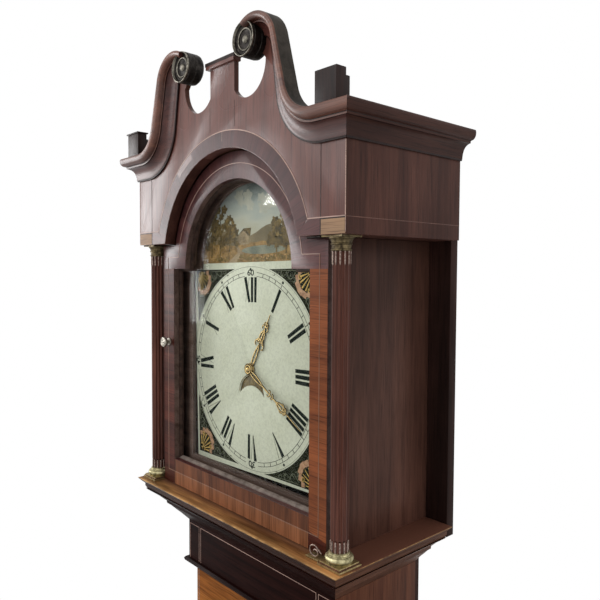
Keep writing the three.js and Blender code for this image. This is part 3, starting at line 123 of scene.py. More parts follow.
# Node helpers
class Nodes:
    """Short ways to add shader nodes to a tree. Inputs are given by name or number."""

    def __init__(self, tree):
        self.tree = tree

    def join(self, node, inputs):
        for key, value in inputs.items():
            socket = node.inputs[key]
            if isinstance(value, bpy.types.NodeSocket):
                self.tree.links.new(value, socket)
            else:
                socket.default_value = (*value, 1) if socket.type == "RGBA" else value

    def node(self, kind, inputs=(), output=0, **settings):
        made = self.tree.nodes.new("ShaderNode" + kind)
        for name, value in settings.items():
            setattr(made, name, value)
        self.join(made, dict(inputs))
        return made.outputs[output]

    def math(self, operation, *values, clamp=False):
        return self.node("Math", enumerate(values), operation=operation, use_clamp=clamp)


class Finish(Nodes):
    """A material with a Principled shader, kept under its name."""

    def __init__(self, name, slot):
        material = bpy.data.materials.new(name)
        material.use_nodes = True
        material["slot"] = slot
        super().__init__(material.node_tree)
        self.shader = self.tree.nodes["Principled BSDF"]
        self.coordinates = self.node("TexCoord", output="Object")
        FINISH[name] = material

    def set(self, **values):
        self.join(self.shader, {name.replace("_", " "): value for name, value in values.items()})

    def place(self, scale=(1, 1, 1), source=None):
        return self.node("Mapping", {"Vector": source or self.coordinates, "Scale": scale})

    def split(self):
        return self.node("SeparateXYZ", {0: self.place()}).node.outputs

    def noise(self, vector, scale, detail=4.0, rough=0.55, twist=0.0):
        return self.node("TexNoise", {"Vector": vector, "Scale": scale, "Detail": detail,
                                      "Roughness": rough, "Distortion": twist})

    def ramp(self, factor, *stops):
        made = self.node("ValToRGB", {0: factor})
        elements = made.node.color_ramp.elements
        while len(elements) < len(stops):
            elements.new(0.5)
        for element, (at, colour) in zip(elements, stops):
            element.position = at
            element.color = (*(colour if isinstance(colour, tuple) else (colour,) * 3), 1)
        return made

    def mix(self, factor, a, b, blend="MIX"):
        return self.node("Mix", {0: factor, 6: a, 7: b}, 2, data_type="RGBA", blend_type=blend)

    def tone(self, colour, factor, low, high):
        """The colour made darker or lighter by a ramp between two stops."""
        return self.mix(1.0, colour, self.ramp(factor, low, high), "MULTIPLY")

    def bump(self, height, strength, distance):
        return self.node("Bump", {"Strength": strength, "Distance": distance, "Height": height})


def polar(finish, centre_z):
    """Coordinates that run round an arch: length along it, depth and distance from its centre."""
    mean_radius = 0.17
    x, y, z = finish.split()
    up = finish.math("SUBTRACT", z, centre_z * MM)
    along = finish.math("MULTIPLY", finish.math("ARCTAN2", x, up), mean_radius)
    square = finish.math("MULTIPLY", up, up)
    radius = finish.math("SQRT", finish.math("MULTIPLY_ADD", x, x, square))
    return finish.node("CombineXYZ", {0: along, 1: y, 2: radius})


def wood(
    name, slot, dark, light, run, rough, shine, figure=0.5, coat=0.0, arch=None, worn=None,
    painted_shade_colour=None, shaded=None,
):
    """Polished timber: long grain, pores, broad figure and a few darker stains along `run`."""
    made = Finish(name, slot)
    source = polar(made, arch) if arch else None

    def grained(stretch, *noise):
        scale = [stretch if axis == run else 1 for axis in "xyz"]
        return made.noise(made.place(scale, source), *noise)

    broad = grained(0.06, 55, 5, 0.6, 0.8)
    pores = grained(0.021, 900, 2)
    blotch = grained(1, 7, 2)
    middle = tuple((a + b) / 2 for a, b in zip(dark, light))
    grain = made.ramp(broad, (0.3, dark), (0.5, middle), (0.72, light))
    grain = made.tone(grain, grained(0.24, 24, 3), (0.35, 1 - figure), (0.65, 1.0))
    grain = made.tone(grain, pores, (0.36, 0.55), (0.46, 1.0))
    grain = made.tone(grain, blotch, (0.3, 0.78), (0.7, 1.15))
    if worn:
        grain = made.mix(worn(made), grain, (0.7, 0.4, 0.16))
    # A darker colour towards the back of the shelf: painted shade.
    if painted_shade_colour:
        grain = made.mix(shelf_painted_shade(made), painted_shade_colour, grain)
    # Darker towards the top: painted shade.
    if shaded:
        low, high, least = shaded
        rise = made.math("SUBTRACT", made.split()[2], low * MM)
        rise = made.math("DIVIDE", rise, (high - low) * MM, clamp=True)
        grain = made.tone(grain, rise, (0.0, 1.0), (1.0, least))
    made.set(
        Base_Color=grain, Specular_IOR_Level=shine, Coat_Weight=coat, Coat_Roughness=0.22,
        Roughness=made.ramp(blotch, (0.3, rough + 0.1), (0.7, rough - 0.06)),
        Normal=made.bump(made.ramp(pores, (0.34, 0.0), (0.5, 1.0)), 0.12, 0.0004),
    )


def metal(name, slot, dark, bright, rough, scale=160.0, metallic=1.0):
    """Old metal: bright where it is rubbed, dull and darker in patches."""
    made = Finish(name, slot)
    patches = made.noise(made.place(), scale, 5, 0.65, 0.4)
    made.set(
        Base_Color=made.ramp(patches, (0.34, dark), (0.62, bright)), Metallic=metallic,
        Roughness=made.ramp(patches, (0.3, rough + 0.22), (0.7, rough)),
        Normal=made.bump(made.noise(made.place(), scale * 9, 2), 0.08, 0.0002),
    )


def paint(name, colour, other, scale, rough=0.45, shine=0.1, slot="painted_dial"):
    """Old oil paint: two tones in soft patches and a fine craze."""
    made = Finish(name, slot)
    patches = made.noise(made.place(), scale, 4, 0.6)
    craze = made.noise(made.place(), scale * 12, 3)
    base = made.ramp(patches, (0.35, colour), (0.65, other))
    made.set(
        Base_Color=made.tone(base, craze, (0.3, 0.88), (0.6, 1.04)), Roughness=rough,
        Specular_IOR_Level=shine, Normal=made.bump(craze, 0.05, 0.0002),
    )


def worn_edge(height, place, reach, axis=1):
    """A wear mask that is strongest near a line at that height, along the front at that depth or,
    with axis 0, along both sides at that distance from the middle."""

    def mask(made):
        parts = made.split()
        up = made.math("SUBTRACT", parts[2], height * MM)
        across = parts[1] if axis else made.math("ABSOLUTE", parts[0])
        out = made.math("SUBTRACT", across, (place - MIDDLE * axis) * MM)
        squares = made.math("MULTIPLY_ADD", up, up, made.math("MULTIPLY", out, out))
        away = made.math("SQRT", squares)
        rub = made.noise(made.place((0.4, 1, 1)), 70, 5, 0.7)
        near = made.math("SUBTRACT", 1.0, made.math("DIVIDE", away, reach * MM), clamp=True)
        return made.math("MULTIPLY", near, made.ramp(rub, (0.38, 0.1), (0.6, 1.0)), clamp=True)

    return mask


def shelf_painted_shade(made):
    """The shelf's top keeps its golden grain in front of the door and takes painted shade beside and
    behind it, where the door and the columns stand.
    """
    start, reach = 6, 22
    back = made.math("SUBTRACT", made.split()[1], (start - MIDDLE) * MM)
    back = made.math("DIVIDE", back, reach * MM, clamp=True)
    return made.math("SUBTRACT", 1.0, back)


# Woods: name, slot, darkest and lightest colour, grain direction, roughness, shine, figure and coat
def add_woods():
    red, dark, pale = "mahogany", "dark_mahogany", "pale_mahogany"
    lip = -9
    wood("front_veneer", red, (0.12, 0.044, 0.034), (0.185, 0.07, 0.053), "z", 0.3, 0.36, 0.1, 0.1)
    wood("side_board", red, (0.058, 0.021, 0.0155), (0.145, 0.058, 0.041), "z", 0.42, 0.12, 0.25)
    # The hood's sides are darker towards the top: painted shade under the cornice.
    wood("hood_side_board", red, (0.085, 0.036, 0.026), (0.2, 0.09, 0.062), "z", 0.42, 0.12, 0.2,
         shaded=(SHELF, SHELF + 330, 0.55))
    wood("side_moulding", red, (0.036, 0.0125, 0.0095), (0.1, 0.04, 0.028), "y", 0.42, 0.12, 0.25)
    wood("moulding", red, (0.055, 0.017, 0.015), (0.16, 0.055, 0.042), "x", 0.34, 0.3, 0.25, 0.15)
    wood("worn_moulding", red, (0.09, 0.032, 0.022), (0.27, 0.11, 0.07), "x", 0.36, 0.3, 0.25, 0.15)
    wood("dusty_top", red, (0.04, 0.034, 0.028), (0.095, 0.08, 0.066), "x", 0.6, 0.1, 0.2)
    wood("corner_block", pale, (0.3, 0.17, 0.09), (0.5, 0.31, 0.18), "x", 0.45, 0.15, 0.2)
    wood("arch_band", red, (0.06, 0.019, 0.02), (0.125, 0.042, 0.038), "z", 0.3, 0.2, 0.3, 0.05,
         arch=ARCH)
    wood("rail_band", red, (0.1, 0.033, 0.016), (0.3, 0.105, 0.045), "z", 0.34, 0.1, 0.5)
    wood("rail_edge_band", red, (0.19, 0.07, 0.03), (0.42, 0.165, 0.075), "z", 0.34, 0.1, 0.35)
    wood("stile_band", red, (0.21, 0.058, 0.022), (0.36, 0.11, 0.039), "x", 0.34, 0.08, 0.4)
    wood("left_stile_band", red, (0.04, 0.0095, 0.006), (0.13, 0.031, 0.018), "x", 0.34, 0.08, 0.4)
    wood("trunk_veneer", red, (0.2, 0.06, 0.012), (0.56, 0.2, 0.045), "x", 0.4, 0.02, 0.35)
    wood("trunk_side_board", red, (0.1, 0.032, 0.017), (0.24, 0.088, 0.045), "z", 0.42, 0.08, 0.2)
    wood("flame_veneer", red, (0.1, 0.032, 0.027), (0.28, 0.09, 0.035), "z", 0.3, 0.3, 0.5, 0.2)
    wood("dark_mahogany", dark, (0.012, 0.005, 0.0045), (0.042, 0.018, 0.014), "z", 0.34, 0.15, 0.3)
    wood("dark_moulding", dark, (0.01, 0.0032, 0.0027), (0.03, 0.0095, 0.0075), "x", 0.36, 0.02, 0.3)
    wood("mask_wood", dark, (0.09, 0.055, 0.046), (0.235, 0.152, 0.13), "x", 0.4, 0.1, 0.2)
    wood("column_wood", dark, (0.064, 0.021, 0.014), (0.215, 0.077, 0.051), "z", 0.34, 0.2, 0.3)
    # The shelf's top has a worn front edge, and painted shade beside and behind the door.
    wood("shelf_wood", pale, (0.38, 0.15, 0.045), (0.9, 0.46, 0.17), "x", 0.42, 0.05, 0.75,
         worn=worn_edge(SHELF, lip, 5), painted_shade_colour=(0.19, 0.08, 0.052))
    wood("shelf_moulding", dark, (0.022, 0.008, 0.006), (0.07, 0.026, 0.015), "x", 0.38, 0.1, 0.4,
         worn=worn_edge(SHELF, lip, 4))
    wood("shelf_side_wood", pale, (0.1, 0.042, 0.026), (0.25, 0.11, 0.065), "y", 0.42, 0.08, 0.4,
         worn=worn_edge(SHELF, SHELF_HALF, 4, 0))
    wood("old_pine", "pine", (0.16, 0.09, 0.045), (0.34, 0.21, 0.11), "z", 0.65, 0.3)
    wood("stained_pine", "pine", (0.022, 0.009, 0.007), (0.067, 0.029, 0.022), "z", 0.6, 0.1)
    wood("boxwood_string", pale, (0.4, 0.24, 0.19), (0.64, 0.42, 0.34), "x", 0.4, 0.3, 0.15)
    wood("faded_string", pale, (0.22, 0.1, 0.06), (0.4, 0.21, 0.13), "z", 0.4, 0.2, 0.3)


# Metals: name, slot, darkest and brightest colour, roughness, and how fine the patches are
def add_metals():
    metal("old_brass", "brass", (0.17, 0.15, 0.078), (0.5, 0.45, 0.26), 0.34)
    metal("plinth_brass", "brass", (0.2, 0.15, 0.07), (0.46, 0.36, 0.18), 0.38)
    metal("capital_brass", "brass", (0.04, 0.03, 0.018), (0.15, 0.115, 0.06), 0.4)
    metal("clean_brass", "brass", (0.35, 0.25, 0.1), (0.72, 0.56, 0.28), 0.24, 60.0)
    metal("knob_metal", "brass", (0.14, 0.125, 0.1), (0.5, 0.47, 0.41), 0.3, 400.0)
    metal("reed_metal", "brass", (0.09, 0.06, 0.05), (0.34, 0.26, 0.22), 0.4, 400.0)
    metal("roundel_brass", "brass", (0.07, 0.065, 0.053), (0.25, 0.23, 0.19), 0.36)
    metal("dark_bronze", "brass", (0.01, 0.0085, 0.008), (0.042, 0.037, 0.033), 0.42)
    metal("gilt", "gilt", (0.3, 0.19, 0.07), (0.78, 0.56, 0.26), 0.3, 240.0)
    metal("old_steel", "steel", (0.1, 0.09, 0.08), (0.42, 0.41, 0.39), 0.34)
    metal("lead", "lead", (0.1, 0.1, 0.1), (0.26, 0.27, 0.28), 0.5, 90.0, 0.8)


# Paints: name, two colours, how fine the patches are, roughness, shine and slot
def add_paints():
    paint("dial_paint", (0.63, 0.64, 0.52), (0.69, 0.7, 0.59), 22, 0.4, 0.2)
    # The date disc is aged brass, darkened further as painted shade behind the mouth; the mouth's
    # edge uses it too.
    paint("disc_paint", (0.06, 0.045, 0.025), (0.26, 0.19, 0.09), 90, 0.4)
    paint("numeral_paint", (0.006, 0.01, 0.008), (0.014, 0.02, 0.016), 200, 0.6, 0.02)
    paint("track_paint", (0.03, 0.036, 0.028), (0.09, 0.095, 0.075), 300, 0.5)
    paint("fine_line_paint", (0.14, 0.15, 0.11), (0.26, 0.27, 0.21), 300, 0.5)
    paint("spandrel_ground", (0.006, 0.008, 0.004), (0.022, 0.024, 0.012), 120, 0.6, 0.02)
    paint("spandrel_scroll", (0.06, 0.068, 0.044), (0.17, 0.18, 0.12), 500, 0.5)
    paint("shell_pink", (0.3, 0.15, 0.085), (0.56, 0.33, 0.2), 160, 0.45, 0.15)
    paint("shell_gold", (0.42, 0.24, 0.05), (0.72, 0.48, 0.13), 300, 0.4, 0.15)
    paint("cloud_paint", (0.4, 0.4, 0.35), (0.52, 0.5, 0.43), 30)
    paint("hill_paint", (0.13, 0.1, 0.055), (0.24, 0.18, 0.1), 30)
    paint("leaf_paint", (0.04, 0.028, 0.01), (0.17, 0.11, 0.035), 150)
    paint("autumn_paint", (0.09, 0.06, 0.018), (0.26, 0.17, 0.055), 220)
    paint("bank_paint", (0.14, 0.08, 0.025), (0.42, 0.25, 0.09), 90)
    paint("path_paint", (0.24, 0.16, 0.09), (0.4, 0.3, 0.18), 80)
    paint("flower_paint", (0.5, 0.2, 0.07), (0.62, 0.42, 0.2), 400)
    paint("water_paint", (0.13, 0.145, 0.115), (0.26, 0.26, 0.2), 60)
    paint("wall_paint", (0.2, 0.14, 0.08), (0.36, 0.27, 0.16), 100)
    paint("cotton_rope", (0.34, 0.27, 0.18), (0.5, 0.42, 0.3), 300, 0.9, 0.4, "cotton")
    # The glazing bead is painted near black as painted shade in the gap round the glass; its bottom
    # run is paler, with dust and painted light on its top.
    paint("sight_bead", (0.02, 0.011, 0.008), (0.07, 0.04, 0.03), 90, 0.5, 0.1, "mahogany")
    paint("dust_and_light_bead", (0.1, 0.075, 0.062), (0.26, 0.21, 0.18), 60, 0.6, 0.1, "mahogany")


def add_sky_and_glass():
    sky = Finish("sky_paint", "painted_dial")
    horizon = DIAL + 190
    rise = sky.math("SUBTRACT", sky.split()[2], horizon * MM)
    drift = sky.noise(sky.place((1, 1, 2.5)), 16, 4, 0.6)
    share = sky.math("MULTIPLY_ADD", rise, 10.0, sky.math("SUBTRACT", drift, 0.5))
    colour = sky.ramp(share, (0.0, (0.42, 0.39, 0.29)), (0.3, (0.46, 0.46, 0.4)),
                      (0.65, (0.34, 0.37, 0.36)), (0.95, (0.14, 0.165, 0.165)))
    sky.set(Base_Color=colour, Roughness=0.45, Specular_IOR_Level=0.1)

    glass = Finish("old_glass", "glass")
    glass.tree.nodes.remove(glass.shader)
    clear = glass.node("BsdfTransparent", {0: (0.97, 0.98, 0.96)})
    ripple = glass.bump(glass.noise(glass.place(), 14, 2), 0.25, 0.002)
    mirror = glass.node("BsdfGlossy", {"Roughness": 0.03, "Normal": ripple})
    glancing = glass.math("POWER", glass.node("LayerWeight", output="Facing"), 5.0)
    share = glass.math("MULTIPLY_ADD", glancing, 0.25, 0.004)
    blend = glass.node("MixShader", {0: share, 1: clear, 2: mirror})
    glass.join(glass.tree.nodes["Material Output"], {0: blend})


# Outlines, as [across, up] pairs
def arc(centre, radius, start, end, count=24):
    """Points on a circle between two angles in degrees."""
    made = []
    for i in range(count + 1):
        angle = math.radians(start + (end - start) * i / count)
        made.append((centre[0] + radius * math.cos(angle), centre[1] + radius * math.sin(angle)))
    return made


def ring(count, radius=1.0, centre=(0, 0), shift=0.0):
    """Points round a whole circle. The shift is a share of a step."""
    angles = [TAU * (i + shift) / count for i in range(count)]
    x, z = centre
    return [(x + radius * math.cos(angle), z + radius * math.sin(angle)) for angle in angles]


def curve(a, b, c, count=8):
    """Points on a bent line from a to c that heads for b first."""
    made = []
    for i in range(count + 1):
        t = i / count
        parts = zip(a, b, c)
        made.append(tuple(p * (1 - t) ** 2 + 2 * q * t * (1 - t) + r * t * t for p, q, r in parts))
    return made


def rectangle(left, right, bottom, top):
    return [(left, bottom), (right, bottom), (right, top), (left, top)]


def mitred(path, closed=False):
    """Stations along an outline, each with the way across the line there, longer at corners."""
    stations = []
    for i, (x, z) in enumerate(path):
        before = path[i - 1] if closed or i else path[0]
        after = path[(i + 1) % len(path)] if closed or i < len(path) - 1 else path[-1]
        a = Vector((x - before[0], z - before[1]))
        b = Vector((after[0] - x, after[1] - z))
        a = a.normalized() if a.length > 1e-9 else b.normalized()
        b = b.normalized() if b.length > 1e-9 else a
        middle = (a + b).normalized() if (a + b).length > 1e-6 else a
        out = Vector((-middle.y, 0, middle.x)) / max(middle.dot(a), 0.35)
        stations.append((Vector((x, 0, z)), out, Vector((0, 1, 0))))
    return stations


def twisted(path, guide, pitch=math.inf):
    """Stations along points in space, turned once in each pitch."""
    stations = []
    run = 0.0
    for i, point in enumerate(path):
        before, after = path[max(i - 1, 0)], path[min(i + 1, len(path) - 1)]
        ahead = (after - before).normalized()
        run += (point - before).length
        guide = (guide - ahead * guide.dot(ahead)).normalized()
        turn = run / pitch * TAU
        out = guide * math.cos(turn) + ahead.cross(guide) * math.sin(turn)
        stations.append((point, out, ahead.cross(out)))
    return stations


def upright(x, y, heights):
    return [(Vector((x, y, z)), Vector((1, 0, 0)), Vector((0, 1, 0))) for z in heights]


def spun(points, degrees, rise=0.0):
    """Points turned about the dial's middle, anticlockwise as seen from the front."""
    turn = math.radians(degrees)
    cos, sin = math.cos(turn), math.sin(turn)
    return [Vector((x * cos - z * sin, y, rise + x * sin + z * cos)) for x, y, z in points]


# Mesh helpers
class Form:
    """Points and faces gathered for one piece. Faces carry the index of their material. Flat
    shapes stand a height out from the face of what carries them, and are sunk a little into it."""

    def __init__(self, face=0.0, sunk=0.1):
        self.face = face
        self.sunk = sunk
        self.points = []
        self.faces = []
        self.marks = []
        self.mark = 0

    def add(self, points, faces, marks=()):
        first = len(self.points)
        self.points += [Vector(p) for p in points]
        self.faces += [tuple(first + i for i in face) for face in faces]
        self.marks += [*marks] + [self.mark] * (len(faces) - len(marks))

    def sweep(self, section, stations, closed=False, marks=()):
        """A closed section, as [out, up] pairs, carried through (origin, out, up) stations. Marks
        give the sides of the section, or all faces between stations, their materials."""
        count = len(section)
        points = [o + u * a + v * b for o, u, v in stations for a, b in section]
        faces = []
        spans = len(stations) if closed else len(stations) - 1
        for i in range(spans):
            here, there = i * count, (i + 1) % len(stations) * count
            for j in range(count):
                k = (j + 1) % count
                faces.append((here + j, here + k, there + k, there + j))
        if not closed:
            faces.append(tuple(range(count - 1, -1, -1)))
            faces.append(tuple(range(spans * count, (spans + 1) * count)))
        self.add(points, faces, marks * spans if len(marks) == count else marks)

    def lathe(self, profile, origin, axis=(0, 0, 1), count=48, marks=()):
        """A profile of [radius, along] pairs turned about an axis. Marks give the rings that
        it makes their materials."""
        axis = Vector(axis)
        side = axis.orthogonal().normalized()
        stations = []
        for radius, along in profile:
            spoke = side * max(radius, 0.001)
            stations.append((Vector(origin) + axis * along, spoke, axis.cross(spoke)))
        self.sweep(ring(count), stations, marks=[mark for mark in marks for _ in range(count)])

    def box(self, low, high):
        """A box between two opposite corners."""
        xs, ys, zs = (sorted(pair) for pair in zip(low, high))
        self.add([(x, y, z) for x in xs for y in ys for z in zs],
                 [(0, 1, 3, 2), (4, 6, 7, 5), (0, 4, 5, 1), (2, 3, 7, 6), (0, 2, 6, 4), (1, 5, 7, 3)])

    def plate(self, outline, height):
        """A flat outline, given thickness."""
        count = len(outline)
        depths = (self.face - height, self.face + self.sunk)
        faces = [tuple(range(count)), tuple(range(2 * count - 1, count - 1, -1))]
        for i in range(count):
            j = (i + 1) % count
            faces.append((i, i + count, j + count, j))
        self.add([(x, y, z) for y in depths for x, z in outline], faces)

    def strip(self, path, widths, height, closed=False):
        """A flat band of given widths along a path, with mitred corners."""
        if not isinstance(widths, (list, tuple)):
            widths = [widths] * len(path)
        front, back = self.face - height, self.face + self.sunk
        stations = [(o, u * w / 2, v) for (o, u, v), w in zip(mitred(path, closed), widths)]
        self.sweep([(-1, front), (-1, back), (1, back), (1, front)], stations, closed)

    def border(self, left, right, bottom, top, width, height):
        """A flat band round a rectangle."""
        self.strip(rectangle(left, right, bottom, top), width, height, closed=True)

    def mirror(self):
        """Adds the mirror image of all that the form holds."""
        self.add([(-p.x, p.y, p.z) for p in self.points], list(self.faces), list(self.marks))


def show(name, mesh, body, stands_for, smooth):
    """Makes a mesh a piece that rides on its body, in place of the nodes it stands for."""
    for face in mesh.polygons:
        face.use_smooth = True
    mesh.set_sharp_from_angle(angle=math.radians(smooth))
    piece = add_object(name, mesh)
    if body:
        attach(piece, body)
    if stands_for:
        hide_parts(*stands_for)
    return piece


def soften(work, width):
    """Rounds the sharp edges of a closed mesh a little."""
    edges = [
        e for e in work.edges if len(e.link_faces) == 2 and e.calc_face_angle() > math.radians(25)
    ]
    bmesh.ops.bevel(
        work, geom=edges, offset=width * MM, offset_type="OFFSET", segments=2, profile=0.6,
        affect="EDGES", clamp_overlap=True,
    )


def put(name, form, body, *finishes, stands_for=(), smooth=35, bevel=0.0):
    """A piece made from a form, with its finishes."""
    mesh = bpy.data.meshes.new(name)
    mesh.from_pydata([metres(p) for p in form.points], [], form.faces)
    for finish in finishes:
        mesh.materials.append(FINISH[finish])
    for face, mark in zip(mesh.polygons, form.marks):
        face.material_index = mark
    work = bmesh.new()
    work.from_mesh(mesh)
    bmesh.ops.recalc_face_normals(work, faces=work.faces)
    if bevel:
        soften(work, bevel)
    work.to_mesh(mesh)
    work.free()
    return show(name, mesh, body, stands_for, smooth)


def refine(node, *finishes, bevel=0.7, smooth=35):
    """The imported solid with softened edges, smooth curves and its finish. A second finish goes on
    the faces that look sideways, and a third on those that look up."""
    form = frame["nodes"][node]
    work = bmesh.new()
    work.from_mesh(form.data)
    bmesh.ops.remove_doubles(work, verts=work.verts, dist=1e-6)
    bmesh.ops.dissolve_limit(
        work, angle_limit=math.radians(0.5), verts=work.verts, edges=work.edges
    )
    if bevel:
        soften(work, bevel)
    mesh = bpy.data.meshes.new(node + "_shown")
    work.to_mesh(mesh)
    work.free()
    for finish in finishes:
        mesh.materials.append(FINISH[finish])
    for face in mesh.polygons:
        sideways = abs(face.normal.x) > max(abs(face.normal.y), 0.3)
        turned = 2 if face.normal.z > 0.8 else 1 if sideways else 0
        face.material_index = turned if turned < len(finishes) else 0
    show(node + "_shown", mesh, form["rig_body"], [node], smooth)


# Case and movement
def add_case():
    refine("backboard", "stained_pine", bevel=0.5)
    refine("base_front", "flame_veneer")
    refine("waist_moulding", "moulding", "side_moulding", bevel=0.4)
    refine("plinth", "moulding", "side_moulding", bevel=0.8)
    refine("trunk_front_frame", "trunk_veneer", bevel=0.5)
    refine("trunk_frieze", "dark_moulding", "trunk_side_board", bevel=0.4)
    refine("throat_moulding", "dark_moulding", "shelf_side_wood", bevel=0.4)
    refine("trunk_door", "flame_veneer", bevel=0.8)
    refine("seat_board", "old_pine", bevel=0.5)
    for side, _ in SIDES:
        refine("base_side_" + side, "side_board")
        refine("trunk_side_" + side, "trunk_side_board")
    for end in ("lower", "upper"):
        refine("trunk_hinge_" + end, "clean_brass", bevel=0.2)
    refine("trunk_lock_bolt", "old_steel", bevel=0.3)
    refine("trunk_key", "old_steel", bevel=0.3)


def add_movement():
    for node in ("front_plate", "back_plate", "great_wheel", "second_wheel", "escape_wheel",
                 "strike_wheel"):
        refine(node, "clean_brass", bevel=0.15)
    refine("anchor", "old_steel", bevel=0.2)
    refine("hammer", "old_steel", bevel=0.2)
    refine("bell", "old_brass", bevel=0.2, smooth=50)
    refine("pendulum", "old_brass", bevel=0.4, smooth=50)
    refine("driving_weight", "lead", bevel=0.8, smooth=50)
    refine("tension_ring", "lead", bevel=0, smooth=80)


# Cornice, swan necks and roundels
def cornice_section():
    """The cornice's outline as [out, up] pairs, up counted down from its top edge."""
    reach, height = 25, CORNICE_TOP - CORNICE_BOTTOM
    shares = [(0, -1), (0.12, -1), (0.12, -0.96)]
    shares += curve((0.14, -0.94), (0.17, -0.52), (0.58, -0.45), 9)
    shares += [(0.66, -0.44), (0.66, -0.38)]
    shares += curve((0.68, -0.36), (0.98, -0.34), (1.0, -0.13), 8)
    shares += curve((1.0, -0.1), (1.0, 0.0), (0.88, 0.0), 5)
    shares += [(0, 0)]
    return [(reach * a, height * b) for a, b in shares]


# Where each face of the cornice's section takes its finish from: soffit, cove, fillet and lobe. The
# soffit, the steps beside the fillet and the back take the dark finish, as painted shade under the
# moulding and in its creases.
MOULDING = [1] * 3 + [0] * 9 + [1, 2, 1] + [2] * 14 + [3, 1]

# A roundel's outline as [radius, out] pairs, and which of its rings are rubbed bright
ROUNDEL = [
    (0, 20.5), (2, 20.3), (4.4, 19.2), (5.4, 17.6), (5.8, 17.2), (9.5, 16.6), (12.6, 17.2),
    (13.2, 18.6), (14.2, 19.2), (15.2, 18.6), (15.8, 17.4), (17.5, 16.9), (19.6, 17.6),
    (20.8, 19.6), (21.2, 21.4), (21.9, 22.6), (22.7, 22.4), (23, 21.2), (23, 20.2), (22.3, 19.4),
    (22.3, 18.4), (23, 17.6), (23, 9), (22.4, 8.2), (22.4, 7.2), (23, 6.4), (23, -2),
    (22.2, -5.5), (20, -7.6), (20, -8),
]
RUBBED = (0, 1, 2, 7, 8, 13, 14, 15, 16, 17)


def swan_neck():
    """Stations of the right neck: level from the corner, round a valley and over a crest, where
    it thins."""
    bend, steps = 48, 28
    thick, thin, height = 32, 24, CORNICE_TOP - CORNICE_BOTTOM
    valley, crest = (212, CORNICE_TOP + bend), (100, FRIEZE + 243)
    run, rise = crest[0] - valley[0], crest[1] - valley[1]
    climb = math.degrees(math.atan2(rise, run) - math.asin(2 * bend / math.hypot(run, rise)))
    stations = [(Vector((249.5, 0, CORNICE_TOP)), Vector((1, -1, 0)), Vector((0, 0, 1)))]

    def turn(centre, start, end, away, first, last):
        for i, (x, z) in enumerate(arc(centre, bend, start, end, steps)):
            way = math.radians(start + (end - start) * i / steps + away)
            up = Vector((math.cos(way), 0, math.sin(way))) * (first + (last - first) * i / steps)
            stations.append((Vector((x, 0, z)), Vector((0, -1, 0)), up))

    turn(valley, -90, climb - 270, 180, 1, 1)
    turn(crest, climb - 90, 120, 0, thick / height, thin / height)
    return stations


def add_swan_neck(side, sign, stations):
    neck = Form()
    neck.sweep(cornice_section(), stations, marks=MOULDING)
    neck.points = [Vector((sign * p.x, p.y, p.z)) for p in neck.points]
    put("scroll_" + side, neck, "hood", "moulding", "dark_mahogany", "worn_moulding", "dusty_top",
        stands_for=["swan_neck_" + side])
    roundel = Form()
    marks = [0 if i in RUBBED else 1 for i in range(len(ROUNDEL) - 1)]
    roundel.lathe(ROUNDEL, (sign * 79, 0, FRIEZE + 263), (0, -1, 0), 56, marks)
    put("rosette_" + side, roundel, "hood", "roundel_brass", "dark_bronze",
        stands_for=["roundel_" + side])


# Rows give a material, then places across, front and back, bottom and top: the frieze's board, its
# veneer, its string, the dust line at the hood side's foot and the soffit behind the column
FRIEZE_BOXES = (
    (4, FRIEZE_HALF, 232, 18.3, BACK, FRIEZE, CORNICE_TOP),
    (4, FRIEZE_HALF - 0.4, FRIEZE_HALF + 0.15, 0.8, BACK, FRIEZE + 0.3, CORNICE_BOTTOM + 1),
    (5, FRIEZE_HALF, FRIEZE_HALF + 0.3, 0.8, BACK, BAND_TOP, BAND_TOP + 0.9),
    (5, 200, 201.2, 42, 214, SHELF + 0.3, SHELF + 1.3),
    (4, 188, 232, 18.3, BACK, FRIEZE, FRIEZE + 14),
)


def add_frieze_side(side, sign):
    frieze = Form()
    edge, foot = Vector((0, 0, 1)), sign * FRIEZE_HALF
    run = [
        (Vector((foot, 0, CORNICE_TOP)), Vector((sign, -1, 0)), edge),
        (Vector((foot, BACK, CORNICE_TOP)), Vector((sign, 0, 0)), edge),
    ]
    frieze.sweep(cornice_section(), run, marks=MOULDING)
    for mark, near, far, front, back, bottom, top in FRIEZE_BOXES:
        frieze.mark = mark
        frieze.box((sign * near, front, bottom), (sign * far, back, top))
    put("frieze_side_" + side, frieze, "hood", "side_moulding", "dark_mahogany", "side_moulding",
        "dusty_top", "side_board", "worn_moulding", stands_for=["frieze_" + side])


def add_hood_carcase():
    stations = swan_neck()
    for side, sign in SIDES:
        add_swan_neck(side, sign, stations)
        add_frieze_side(side, sign)
        refine("hood_side_" + side, "hood_side_board")
        refine("finial_block_" + side, "dark_mahogany", bevel=0.6)
    refine("hood_roof", "old_pine")
    refine("hood_base", "shelf_moulding", "shelf_side_wood", "shelf_wood", bevel=0.5)
    refine("hood_mask", "mask_wood", bevel=0.4)


